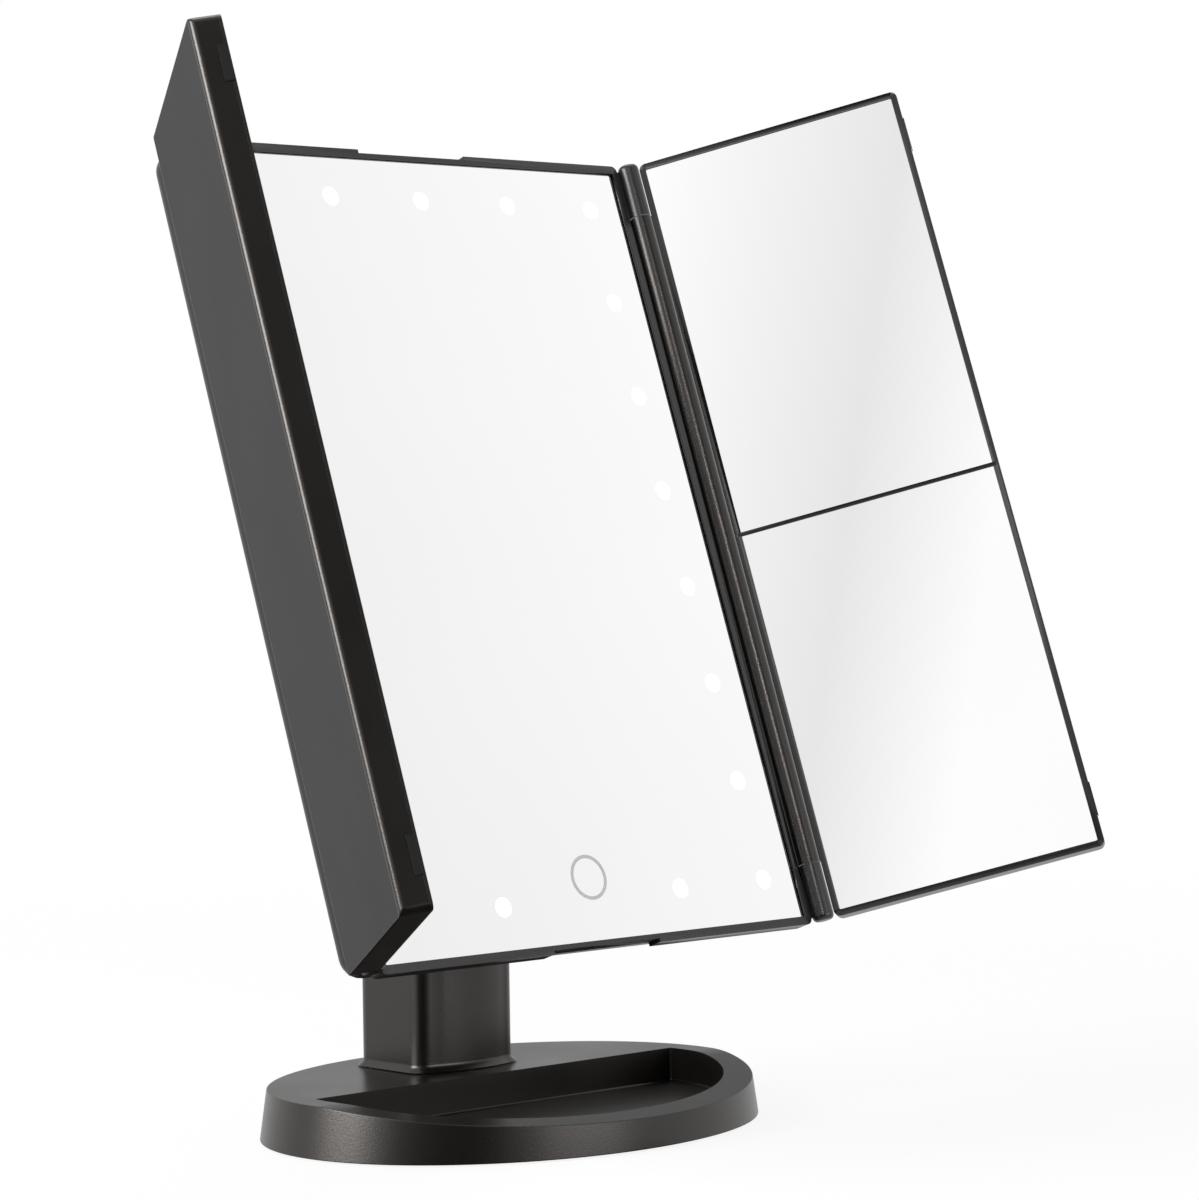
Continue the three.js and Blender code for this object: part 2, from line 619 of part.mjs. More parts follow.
const knuckleHalf = KNUCKLE_WIDTH / 2;
const earIn = knuckleHalf + WASHER_THICKNESS + 2 * GAP;
const earOut = earIn + EAR_THICKNESS;
const capRadius = KNUCKLE_RADIUS - CAP_INSET;
const bracketScrewX = earOut + BRACKET_SCREW_CLEAR + SCREW_HEAD_RADIUS;
const bracketWidth = 2 * (bracketScrewX + BRACKET_MARGIN);
const carrierHalfX = insideHalfX - GAP;
const carrierHalfY = insideHalfY - GAP;
const floorIn = -housingBack + HOUSING_WALL;
const touchY = -ledRowY + TOUCH_Y_ABOVE_ROW;
const knuckleTop = HEAD_HEIGHT / 2 - GAP;
const barrelTop = knuckleTop - KNUCKLE_LENGTH - GAP;
const barrelBottom = -barrelTop;

// One fixed knuckle of a wing hinge, with the web that ties it to the frame.
function frameKnuckle(side, end) {
  const from = end > 0 ? barrelTop + GAP : -knuckleTop;
  const to = end > 0 ? knuckleTop : barrelBottom - GAP;
  const x = side * hingeX;
  const domeLow = end > 0 ? to - BARREL_RADIUS / 2 : from;
  const domeHigh = end > 0 ? to : from + BARREL_RADIUS / 2;
  const narrow = KNUCKLE_TIP * BARREL_RADIUS;
  const straightFrom = end > 0 ? from : domeHigh;
  const straightTo = end > 0 ? domeLow : to;
  const tube = rod('y', BARREL_RADIUS, straightFrom, straightTo, [x, 0, hingeForward], 20);
  const dome = rod(
    'y',
    end > 0 ? BARREL_RADIUS : narrow,
    domeLow,
    domeHigh,
    [x, 0, hingeForward],
    20,
    end > 0 ? narrow : BARREL_RADIUS,
  );
  const near = HEAD_WIDTH / 2 - FRAME_WALL;
  const webX = [side * near, side * hingeX].sort((a, b) => a - b);
  const webLow = hingeForward - BARREL_RADIUS;
  const web = box(webX[0], webX[1], straightFrom, straightTo, webLow, lipFront);
  const bore = rod(
    'y',
    HINGE_PIN_RADIUS + GAP,
    end > 0 ? from - PAST : to - HINGE_PIN_LENGTH / 2 - GAP,
    end > 0 ? from + HINGE_PIN_LENGTH / 2 + GAP : to + PAST,
    [x, 0, hingeForward],
    12,
  );
  return { body: join(tube, dome, web), bore };
}

function makeFrame(group) {
  const outline = roundedRect(
    -HEAD_WIDTH / 2, HEAD_WIDTH / 2, -HEAD_HEIGHT / 2, HEAD_HEIGHT / 2, HEAD_CORNER);
  const outer = slab(outline, -frameDepth, lipFront);
  const pocketX = glassHalfX + GAP;
  const pocketY = glassHalfY + GAP;
  const pocket = box(-pocketX, pocketX, -pocketY, pocketY, -frameDepth - PAST, GAP);
  const opening = box(-openHalfX, openHalfX, -openHalfY, openHalfY, 0, lipFront + PAST);
  const notches = [-1, 1].map((end) => {
    const edge = HEAD_HEIGHT / 2;
    const low = end > 0 ? edge - NOTCH_DEPTH : -edge - PAST;
    const high = end > 0 ? edge + PAST : -edge + NOTCH_DEPTH;
    return box(-NOTCH_WIDTH / 2, NOTCH_WIDTH / 2, low, high, -frameDepth - PAST, lipFront + PAST);
  });
  const knuckles = [frameKnuckle(1, 1), frameKnuckle(1, -1), frameKnuckle(-1, 1), frameKnuckle(-1, -1)];
  const frame = cut(
    join(cut(outer, pocket, opening), ...knuckles.map((k) => k.body)),
    pocket,
    ...notches,
    ...knuckles.map((k) => k.bore),
  );
  piece(group, 'front_frame', frame, 'satin');

  const glass = box(-glassHalfX, glassHalfX, -glassHalfY, glassHalfY, -GLASS_THICKNESS, 0);
  piece(group, 'main_mirror', glass, 'mirror');

  const names = { 1: 'right', '-1': 'left' };
  for (const side of [1, -1]) {
    for (const end of [1, -1]) {
      const middle = end * (barrelTop + GAP / 2);
      const pin = rod(
        'y',
        HINGE_PIN_RADIUS,
        middle - HINGE_PIN_LENGTH / 2,
        middle + HINGE_PIN_LENGTH / 2,
        [side * hingeX, 0, hingeForward],
        12,
      );
      piece(group, `hinge_pin_${names[side]}_${end > 0 ? 'upper' : 'lower'}`, pin, 'steel');
    }
  }
}

// Centres of the LEDs: five along the top, four along the bottom, six up each side.
function ledPlaces() {
  const places = [];
  for (let i = -2; i <= 2; i += 1) places.push([i * ledRowStep, ledRowY]);
  for (const i of [-2, -1, 1, 2]) places.push([i * ledRowStep, -ledRowY]);
  for (let row = 1; row < LED_STEPS; row += 1) {
    for (const side of [-1, 1]) places.push([side * ledSideX, -ledRowY + row * ledPitch]);
  }
  return places;
}

const housingScrewX = HEAD_WIDTH / 2 - HOUSING_SCREW_INSET_X;
const housingScrewY = HEAD_HEIGHT / 2 - HOUSING_SCREW_INSET_Y;
const housingScrews = [
  [-housingScrewX, -housingScrewY],
  [housingScrewX, -housingScrewY],
  [-housingScrewX, housingScrewY],
  [housingScrewX, housingScrewY],
];
const counterboreFloor = -housingBack + SCREW_HEAD_HEIGHT + GAP;
const housingBossFront = counterboreFloor + BOSS_WALL;

function makeLighting(group) {
  const carrierFront = -GLASS_THICKNESS - GAP;
  const plate = slab(
    roundedRect(-carrierHalfX, carrierHalfX, -carrierHalfY, carrierHalfY, HEAD_CORNER),
    carrierBack,
    carrierFront,
  );
  const electrodeHole = rod(
    'z', ELECTRODE_RADIUS + GAP, carrierBack - PAST, carrierFront + PAST, [0, touchY, 0], 24);
  const bossBack = housingBossFront + GAP;
  const bosses = housingScrews.map(([x, y]) =>
    rod('z', screwBossRadius, bossBack, carrierBack + WELD, [x, y, 0], 16),
  );
  const holes = housingScrews.map(([x, y]) =>
    rod('z', SCREW_RADIUS + GAP, bossBack - PAST, carrierBack - CARRIER_SKIN, [x, y, 0], 12),
  );
  piece(group, 'mirror_carrier', cut(join(cut(plate, electrodeHole), ...bosses), ...holes), 'white');

  const outX = ledSideX + BOARD_MARGIN;
  const outY = ledRowY + BOARD_MARGIN;
  const ring = cut(
    slab(roundedRect(-outX, outX, -outY, outY, BOARD_CORNER), boardBack, boardFront),
    box(
      -outX + BOARD_BAND, outX - BOARD_BAND,
      -outY + BOARD_BAND, outY - BOARD_BAND,
      boardBack - PAST, boardFront + PAST,
    ),
  );
  const chips = ledPlaces().map(([x, y]) =>
    box(
      x - LED_WIDTH / 2, x + LED_WIDTH / 2,
      y - LED_WIDTH / 2, y + LED_WIDTH / 2,
      boardFront - WELD, chipFront,
    ),
  );
  piece(group, 'led_board', join(ring, ...chips), 'board');

  const disc = rod('z', ELECTRODE_RADIUS, carrierBack + ELECTRODE_SINK, carrierFront, [0, touchY, 0], 24);
  const spring = rod('z', ELECTRODE_RADIUS / 3, boardFront + GAP, carrierBack + WELD, [0, touchY, 0], 12);
  piece(group, 'touch_electrode', join(disc, spring), 'copper');
}

// Battery bay and the door that slides up and off
const bayHalfX = (CELL_COUNT * CELL_PITCH) / 2 + GAP;
const bayTop = POD_TOP - BAY_END;
const bayBottom = bayTop - CELL_LENGTH - CELL_NUB - SPRING_LENGTH - 2 * CONTACT_THICKNESS - 5 * GAP;
const doorBack = -podBack;
const doorFront = doorBack + DOOR_THICKNESS;
const doorSeat = doorFront + GAP;
const doorHalfX = bayHalfX + DOOR_OVERLAP;
const doorBottom = bayBottom - DOOR_OVERLAP;
const podHalf = doorHalfX + TONGUE + GAP + POD_SIDE;
const cellZ = doorSeat + GAP + CELL_RADIUS;
const bayFront = cellZ + CELL_RADIUS + GAP;
const tongueBack = doorFront - TONGUE_THICKNESS;

// Outer form of the pod, which the door shares where it covers the bay.
function podBlock() {
  const front = -housingBack + WELD;
  return softBackBlock(
    -podHalf, podHalf, POD_BOTTOM, POD_TOP, POD_CORNER, -podBack, front, POD_ROUND);
}

function makeDoor(group) {
  const plate = box(-doorHalfX, doorHalfX, doorBottom, POD_TOP - GAP, doorBack, doorFront);
  const tongues = [-1, 1].map((side) => {
    const x = [side * (doorHalfX - WELD), side * (doorHalfX + TONGUE)].sort((a, b) => a - b);
    return box(x[0], x[1], doorBottom, POD_TOP - GAP, tongueBack, doorFront);
  });
  const grooves = [];
  for (let i = 0; i < GRIP_RIBS; i += 1) {
    const y = POD_TOP - GRIP_DOWN - GRIP_PITCH * i;
    const [low, high] = [y - GRIP_HEIGHT / 2, y + GRIP_HEIGHT / 2];
    grooves.push(
      box(-GRIP_WIDTH / 2, GRIP_WIDTH / 2, low, high, doorBack - PAST, doorBack + GRIP_DEPTH));
  }
  const door = cut(join(plate, ...tongues), ...grooves).intersect(podBlock());
  piece(group, 'battery_door', door, 'black');
}

function cellPlaces() {
  const places = [];
  for (let i = 0; i < CELL_COUNT; i += 1) {
    places.push({ x: (i - (CELL_COUNT - 1) / 2) * CELL_PITCH, up: i % 2 === 0 });
  }
  return places;
}

function makeBatteries(group) {
  const lowPlate = bayBottom + GAP;
  const highPlate = bayTop - GAP - CONTACT_THICKNESS;
  const springGap = SPRING_LENGTH + GAP;
  const contactHalfX = bayHalfX - GAP;
  const [contactBack, contactFront] = [cellZ - CONTACT_HALF_HEIGHT, cellZ + CONTACT_HALF_HEIGHT];
  const plateFor = (y) =>
    box(-contactHalfX, contactHalfX, y, y + CONTACT_THICKNESS, contactBack, contactFront);
  let low = plateFor(lowPlate);
  let high = plateFor(highPlate);
  cellPlaces().forEach(({ x, up }, i) => {
    const from = lowPlate + CONTACT_THICKNESS + (up ? springGap : CELL_NUB + GAP);
    const to = from + CELL_LENGTH;
    const body = rod('y', CELL_RADIUS, from, to, [x, 0, cellZ], 20);
    const nub = up
      ? rod('y', CELL_NUB_RADIUS, to - WELD, to + CELL_NUB, [x, 0, cellZ], 12)
      : rod('y', CELL_NUB_RADIUS, from - CELL_NUB, from + WELD, [x, 0, cellZ], 12);
    piece(group, `battery_cell_${i + 1}`, join(body, nub), 'cell');
    const at = [x, 0, cellZ];
    if (up) {
      const base = lowPlate + CONTACT_THICKNESS / 2;
      low = join(low, rod('y', SPRING_RADIUS, base, from - GAP, at, 10, SPRING_TIP_RADIUS));
    } else {
      const base = highPlate + CONTACT_THICKNESS / 2;
      high = join(high, rod('y', SPRING_TIP_RADIUS, to + GAP, base, at, 10, SPRING_RADIUS));
    }
  });
  piece(group, 'battery_contact_lower', low, 'steel');
  piece(group, 'battery_contact_upper', high, 'steel');
}

const controlBack = podBack - CONTROL_STANDOFF;
const controlFront = -controlBack + BOARD_THICKNESS;
const controlY = POD_BOTTOM + CONTROL_UP;
const switchY = controlY + SWITCH_UP;
const usbY = controlY + USB_UP;
const switchZ = controlFront + GAP + SWITCH_BODY / 2;
const usbZ = controlFront + GAP + USB_HEIGHT / 2;
const podWallIn = podHalf - HOUSING_WALL;
const switchSlotLow = switchY - SWITCH_KNOB_LENGTH / 2 - SWITCH_TRAVEL - 2 * GAP;
const switchSlotHigh = switchY + SWITCH_KNOB_LENGTH / 2 + 2 * GAP;

function makeHousing(group) {
  const x = HEAD_WIDTH / 2 + HOUSING_WIDER;
  const y = HEAD_HEIGHT / 2 - HOUSING_INSET;
  const rimZ = -frameDepth - GAP;
  const shell = softBackBlock(-x, x, -y, y, HOUSING_CORNER, -housingBack, rimZ, HOUSING_ROUND);
  const plugFront = -GLASS_THICKNESS - GAP;
  const plug = box(-plugHalfX, plugHalfX, -plugHalfY, plugHalfY, rimZ - WELD, plugFront);
  const wideBack = Math.min(floorIn + HOUSING_WALL, boardBack - GAP);
  const wide = box(-insideHalfX, insideHalfX, -insideHalfY, insideHalfY, wideBack, 0);
  const deep = box(
    -insideHalfX + HOUSING_ROUND, insideHalfX - HOUSING_ROUND,
    -insideHalfY + HOUSING_ROUND, insideHalfY - HOUSING_ROUND,
    floorIn, 0,
  );
  const pod = podBlock();
  const podInside = box(
    -podWallIn, podWallIn,
    POD_BOTTOM + HOUSING_WALL, bayBottom - BAY_WALL,
    -podBack + HOUSING_WALL, floorIn + PAST,
  );
  const bayBlock = box(
    -bayHalfX - BAY_WALL, bayHalfX + BAY_WALL,
    bayBottom - BAY_WALL, bayTop + BAY_WALL,
    -podBack + DOOR_THICKNESS, bayFront + BAY_WALL,
  );
  const bay = box(-bayHalfX, bayHalfX, bayBottom, bayTop, doorBack - PAST, bayFront);
  const doorBed = box(
    -doorHalfX - GAP, doorHalfX + GAP,
    doorBottom - GAP, POD_TOP + PAST,
    doorBack - PAST, doorSeat,
  );
  const groove = box(
    -doorHalfX - TONGUE - GAP, doorHalfX + TONGUE + GAP,
    doorBottom - GAP, POD_TOP + PAST,
    tongueBack - GAP, doorSeat,
  );
  const wellRadius = SCREW_HEAD_RADIUS + GAP;
  const screwBosses = housingScrews.map(([sx, sy]) =>
    rod('z', wellRadius + BOSS_WALL, -housingBack + WELD, housingBossFront, [sx, sy, 0], 20),
  );
  const screwHoles = housingScrews.map(([sx, sy]) =>
    join(
      rod('z', wellRadius, -housingBack - PAST, counterboreFloor, [sx, sy, 0], 20),
      rod('z', SCREW_RADIUS + GAP, -housingBack, housingBossFront + PAST, [sx, sy, 0], 12),
    ),
  );
  const bracketY = -PIVOT_DOWN;
  const postTop = -controlBack - GAP;
  const bracketBosses = [-bracketScrewX, bracketScrewX].map((sx) =>
    rod('z', screwBossRadius, -podBack + WELD, postTop, [sx, bracketY, 0], 16),
  );
  const bracketHoles = [-bracketScrewX, bracketScrewX].map((sx) =>
    rod('z', SCREW_RADIUS + GAP, -podBack - PAST, postTop + PAST, [sx, bracketY, 0], 12),
  );
  const boardPosts = [];
  for (const px of [-ledSideX, ledSideX]) {
    for (const py of [-ledRowY / 2, ledRowY / 2]) {
      boardPosts.push(rod('z', BOARD_POST_RADIUS, floorIn - WELD, boardBack - GAP, [px, py, 0], 12));
    }
  }
  const knobSlot = box(
    podWallIn - PAST, podHalf + PAST,
    switchSlotLow, switchSlotHigh,
    switchZ - SWITCH_KNOB_WIDTH / 2 - GAP, switchZ + SWITCH_KNOB_WIDTH / 2 + GAP,
  );
  const usbHole = box(
    -podHalf - PAST, -podWallIn + PAST,
    usbY - USB_WIDTH / 2 - GAP, usbY + USB_WIDTH / 2 + GAP,
    usbZ - USB_HEIGHT / 2 - GAP, usbZ + USB_HEIGHT / 2 + GAP,
  );
  const hollowed = cut(join(shell, plug, pod), wide, deep, podInside);
  const housing = cut(
    join(hollowed, bayBlock, ...screwBosses, ...bracketBosses, ...boardPosts),
    bay,
    doorBed,
    groove,
    knobSlot,
    usbHole,
    ...screwHoles,
    ...bracketHoles,
  );
  piece(group, 'rear_housing', housing, 'black');

  housingScrews.forEach(([sx, sy], i) => {
    const seat = counterboreFloor - GAP / 2;
    const tip = carrierBack - CARRIER_SKIN - SCREW_SPARE;
    piece(group, `housing_screw_${i + 1}`, screw([sx, sy], seat, tip), 'steel');
  });
}

function makeElectronics(group) {
  const halfX = CONTROL_WIDTH / 2;
  const board = box(
    -halfX, halfX,
    controlY - CONTROL_HEIGHT / 2, controlY + CONTROL_HEIGHT / 2,
    -controlBack, controlFront,
  );
  const onBoard = ([x, y]) => [x, controlY + y, 0];
  const chip = box(
    CHIP_X - CHIP_WIDTH / 2, CHIP_X + CHIP_WIDTH / 2,
    controlY - CHIP_HEIGHT / 2, controlY + CHIP_HEIGHT / 2,
    controlFront - WELD, controlFront + CHIP_THICKNESS,
  );
  const coil = rod(
    'z', COIL_RADIUS, controlFront - WELD, controlFront + COIL_HEIGHT, onBoard(COIL_PLACE), 16);
  const capacitor = rod(
    'z',
    CAPACITOR_RADIUS,
    controlFront - WELD,
    controlFront + CAPACITOR_HEIGHT,
    onBoard(CAPACITOR_PLACE),
    16,
  );
  piece(group, 'control_board', join(board, chip, coil, capacitor), 'green');

  const usbOut = -podHalf + GAP;
  const usbBody = box(
    usbOut, usbOut + USB_DEPTH + HOUSING_WALL,
    usbY - USB_WIDTH / 2, usbY + USB_WIDTH / 2,
    usbZ - USB_HEIGHT / 2, usbZ + USB_HEIGHT / 2,
  );
  const usbMouth = box(
    usbOut - PAST, usbOut + USB_DEPTH,
    usbY - USB_WIDTH / 2 + USB_SHELL, usbY + USB_WIDTH / 2 - USB_SHELL,
    usbZ - USB_HEIGHT / 2 + USB_SHELL, usbZ + USB_HEIGHT / 2 - USB_SHELL,
  );
  piece(group, 'usb_socket', cut(usbBody, usbMouth), 'steel');

  const bodyOut = podWallIn - GAP;
  const knobIn = bodyOut - WELD;
  const body = box(
    bodyOut - SWITCH_BODY_DEPTH, bodyOut,
    switchSlotLow - SWITCH_BODY_END, switchSlotHigh + SWITCH_BODY_END,
    switchZ - SWITCH_BODY / 2, switchZ + SWITCH_BODY / 2,
  );
  const well = box(
    knobIn - GAP, bodyOut + PAST,
    switchSlotLow, switchSlotHigh,
    switchZ - SWITCH_KNOB_WIDTH / 2 - GAP, switchZ + SWITCH_KNOB_WIDTH / 2 + GAP,
  );
  piece(group, 'switch_body', cut(body, well), 'steel');

  const knob = box(
    knobIn, podHalf + SWITCH_PROUD,
    switchY - SWITCH_KNOB_LENGTH / 2, switchY + SWITCH_KNOB_LENGTH / 2,
    switchZ - SWITCH_KNOB_WIDTH / 2, switchZ + SWITCH_KNOB_WIDTH / 2,
  );
  const ribs = [-1, 0, 1].map((step) => {
    const middle = switchY + step * SWITCH_RIB_PITCH;
    return box(
      podHalf + SWITCH_PROUD - SWITCH_RIB_DEPTH, podHalf + SWITCH_PROUD + PAST,
      middle - SWITCH_RIB_WIDTH / 2, middle + SWITCH_RIB_WIDTH / 2,
      switchZ - SWITCH_KNOB_WIDTH, switchZ + SWITCH_KNOB_WIDTH,
    );
  });
  piece(group, 'switch_knob', cut(knob, ...ribs), 'black');

  const start = controlFront + GAP + LEAD_RADIUS;
  const end = boardBack - GAP - LEAD_RADIUS;
  const route = new THREE.CatmullRomCurve3([
    new THREE.Vector3(LEAD_X, controlY, start),
    new THREE.Vector3(LEAD_X, controlY - LEAD_STRAIGHT, start + LEAD_LIFT),
    new THREE.Vector3(LEAD_X, POD_BOTTOM + LEAD_UPPER_LENGTH, floorIn),
    new THREE.Vector3(LEAD_X, POD_BOTTOM - LEAD_LOWER_LENGTH, floorIn + LEAD_RADIUS + LEAD_OFF_FLOOR),
    new THREE.Vector3(LEAD_X, LEAD_STRAIGHT - ledRowY, end),
    new THREE.Vector3(LEAD_X, -ledRowY, end),
  ]);
  const section = new THREE.Shape();
  section.absellipse(0, 0, LEAD_RADIUS, LEAD_RADIUS, 0, 2 * Math.PI, false, 0);
  const lead = new THREE.ExtrudeGeometry(section, { steps: 24, extrudePath: route, curveSegments: 4 });
  piece(group, 'board_lead', solid(lead), 'white');
}

// Yoke that carries the head on the column's knuckle
function makeTiltHinge(group) {
  const plateFront = -podBack - GAP;
  const plateBack = plateFront - BRACKET_PLATE;
  const middle = -PIVOT_DOWN;
  const plate = slab(
    roundedRect(
      -bracketWidth / 2, bracketWidth / 2,
      middle - BRACKET_HEIGHT / 2, middle + BRACKET_HEIGHT / 2, BRACKET_CORNER),
    plateBack,
    plateFront,
  );
  const earSide = new THREE.Shape();
  const foot = BRACKET_HEIGHT / 2 - EAR_FOOT_INSET;
  earSide.moveTo(middle - foot, plateBack + WELD);
  earSide.lineTo(middle - KNUCKLE_RADIUS, -pivotBack);
  earSide.absarc(middle, -pivotBack, KNUCKLE_RADIUS, Math.PI, 2 * Math.PI, false);
  earSide.lineTo(middle + foot, plateBack + WELD);
  const ears = [sideSlab(earSide, -earOut, -earIn), sideSlab(earSide, earIn, earOut)];
  const boltHole = rod(
    'x', TILT_BOLT_RADIUS + GAP, -bracketWidth, bracketWidth, [0, middle, -pivotBack]);
  const screwHoles = [-bracketScrewX, bracketScrewX].map((x) =>
    rod('z', SCREW_RADIUS + GAP, plateBack - PAST, plateFront + PAST, [x, middle, 0], 12),
  );
  piece(group, 'tilt_bracket', cut(join(plate, ...ears), boltHole, ...screwHoles), 'black');

  [-bracketScrewX, bracketScrewX].forEach((x, i) => {
    const place = [x, middle];
    const tip = -podBack + BRACKET_SCREW_BITE;
    piece(group, `bracket_screw_${i + 1}`, screw(place, plateBack - GAP, tip), 'steel');
  });

  const at = [0, middle, -pivotBack];
  const headFrom = earOut + GAP;
  const bolt = join(
    rod('x', TILT_BOLT_RADIUS, -headFrom - TILT_HEAD_HEIGHT - TILT_BOLT_TIP, headFrom + WELD, at),
    rod('x', TILT_HEAD_RADIUS, headFrom, headFrom + TILT_HEAD_HEIGHT, at),
  );
  piece(group, 'tilt_bolt', bolt, 'steel');
  const nut = cut(
    rod('x', TILT_HEAD_RADIUS, -headFrom - TILT_HEAD_HEIGHT, -headFrom, at, 6),
    rod('x', TILT_BOLT_RADIUS + GAP, -bracketWidth, 0, at),
  );
  piece(group, 'tilt_nut', nut, 'steel');

  for (const [name, side] of [['left', -1], ['right', 1]]) {
    const inner = side * (knuckleHalf + GAP);
    const outer = side * (knuckleHalf + GAP + WASHER_THICKNESS);
    const washer = cut(
      rod('x', KNUCKLE_RADIUS - WASHER_INSET, Math.min(inner, outer), Math.max(inner, outer), at),
      rod('x', TILT_BOLT_RADIUS + GAP, -bracketWidth, bracketWidth, at),
    );
    piece(group, `friction_washer_${name}`, washer, 'steel');

    const capIn = side * (earOut + GAP);
    const capOut = side * (headFrom + TILT_HEAD_HEIGHT + TILT_BOLT_TIP + GAP + CAP_WALL);
    const hollowOut = capOut - side * CAP_WALL;
    const cap = cut(
      rod('x', capRadius, Math.min(capIn, capOut), Math.max(capIn, capOut), at),
      rod(
        'x', capRadius - CAP_WALL,
        Math.min(capIn - side, hollowOut), Math.max(capIn - side, hollowOut), at),
    );
    piece(group, `hinge_cap_${name}`, cap, 'black');
  }
}

// One wing. side is 1 for the user's right and -1 for the left.
function makeWing(group, side, name) {
  const middle = -WING_DROP;
  const low = middle - wingHeight / 2;
  const high = middle + wingHeight / 2;
  const span = (from, to) => (side > 0 ? [from, to] : [-to, -from]);
  const [x0, x1] = span(wingStart, wingEnd);
  const glassInset = WING_WALL + GAP;
  const shellFront = 0;
  const backingFront = -WING_GLASS - GAP;
  const floorFront = -WING_BACK + WING_FLOOR;

  const outer = softBackBlock(x0, x1, low, high, WING_CORNER, -WING_BACK, shellFront, WING_ROUND);
  const hollow = box(
    x0 + WING_WALL, x1 - WING_WALL, low + WING_WALL, high - WING_WALL, floorFront, shellFront + PAST);
  const barrel = rod('y', BARREL_RADIUS, barrelBottom, barrelTop, [0, 0, 0], 24);
  const [w0, w1] = span(0, wingStart + WELD);
  const web = box(w0, w1, barrelBottom, barrelTop, -BARREL_RADIUS, shellFront);
  const [k0, k1] = span(0, BARREL_RADIUS + GAP);
  const knuckleRooms = [
    box(k0, k1, barrelTop, high + PAST, -BARREL_RADIUS - GAP, BARREL_RADIUS + GAP),
    box(k0, k1, low - PAST, barrelBottom, -BARREL_RADIUS - GAP, BARREL_RADIUS + GAP),
  ];
  const pinBores = [1, -1].map((end) => {
    const mouth = end * (barrelTop + PAST);
    const blind = end * (barrelTop - HINGE_PIN_LENGTH / 2 - GAP);
    return rod(
      'y', HINGE_PIN_RADIUS + GAP, Math.min(mouth, blind), Math.max(mouth, blind), [0, 0, 0], 12);
  });
  const tabPlaces = [low + TAB_END_OFFSET, high - TAB_END_OFFSET];
  const tabDepth = -WING_GLASS;
  const windows = tabPlaces.map((y) => {
    const [t0, t1] = span(wingEnd - WING_WALL - WELD, wingEnd + PAST);
    const half = TAB_LENGTH / 2 + GAP;
    return box(t0, t1, y - half, y + half, tabDepth - GAP, shellFront + PAST);
  });
  const shell = cut(join(cut(outer, hollow), barrel, web), ...knuckleRooms, ...pinBores, ...windows);
  piece(group, `${name}_wing_shell`, shell, 'black');

  const backing = box(
    x0 + glassInset, x1 - glassInset, low + glassInset, high - glassInset,
    floorFront + GAP, backingFront);
  piece(group, `${name}_wing_backing`, backing, 'foam');

  const dividers = side > 0 ? [DIVIDER_Y] : [];
  const opening = box(
    x0 + WING_BEZEL, x1 - WING_BEZEL, low + WING_BEZEL, high - WING_BEZEL, 0, lipFront + PAST);
  const bars = dividers.map((y) =>
    box(
      x0 + WING_BEZEL / 2, x1 - WING_BEZEL / 2,
      y - DIVIDER_WIDTH / 2, y + DIVIDER_WIDTH / 2,
      GAP, lipFront,
    ),
  );
  const tabs = tabPlaces.map((y) => {
    const [t0, t1] = span(wingEnd - WING_WALL + TAB_CLEARANCE, wingEnd + TAB_PROUD);
    return box(t0, t1, y - TAB_LENGTH / 2, y + TAB_LENGTH / 2, tabDepth, GAP + WELD);
  });
  const rim = slab(roundedRect(x0, x1, low, high, WING_CORNER), GAP, lipFront);
  piece(group, `${name}_wing_bezel`, join(cut(rim, opening), ...bars, ...tabs), 'satin');

  const glass = (from, to) => box(x0 + glassInset, x1 - glassInset, from, to, -WING_GLASS, 0);
  const bottom = low + glassInset;
  const top = high - glassInset;
  if (side > 0) {
    piece(group, 'right_upper_mirror', glass(DIVIDER_Y + GAP, top), 'mirror');
    piece(group, 'right_lower_mirror', glass(bottom, DIVIDER_Y - GAP), 'mirror');
  } else {
    piece(group, 'left_mirror', glass(bottom, top), 'mirror');
  }
}

makeBase(object);
makeColumn(object);

// The head turns about the tilt pivot, and its middle is set off from that pivot.
const tiltGroup = new THREE.Group();
tiltGroup.position.set(0, pivotY, PIVOT_Z);
tiltGroup.rotation.x = Math.PI / 2 - degrees(HEAD_TILT);
const head = new THREE.Group();
head.position.set(0, PIVOT_DOWN, pivotBack);
tiltGroup.add(head);
object.add(tiltGroup);

makeFrame(head);
makeLighting(head);
makeHousing(head);
makeBatteries(head);
makeDoor(head);
makeElectronics(head);
makeTiltHinge(head);

for (const [side, name, swing] of [[1, 'right', -RIGHT_SWING], [-1, 'left', LEFT_SWING]]) {
  const wing = new THREE.Group();
  wing.position.set(side * hingeX, 0, hingeForward);
  wing.rotation.y = degrees(swing);
  head.add(wing);
  makeWing(wing, side, name);
}

export default object;
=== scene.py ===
# %% [markdown]
# # A lighted three-panel makeup mirror
#
# The object is a vanity mirror of moulded black plastic and silvered glass. A wide centre mirror has small
# LED windows round its edge. Two narrower mirrors are hinged to its sides, and the head leans back on a
# short column that stands on an oval base with a tray.
#
# The construction model comes first. It holds every piece at its true size, and it says which pieces move
# together. This lesson dresses it: each visible piece is modelled again with fine edges, and every piece
# gets the finish of the real material.

# %% Load the construction model
import json
import math

import bpy
from mathutils import Matrix, Vector

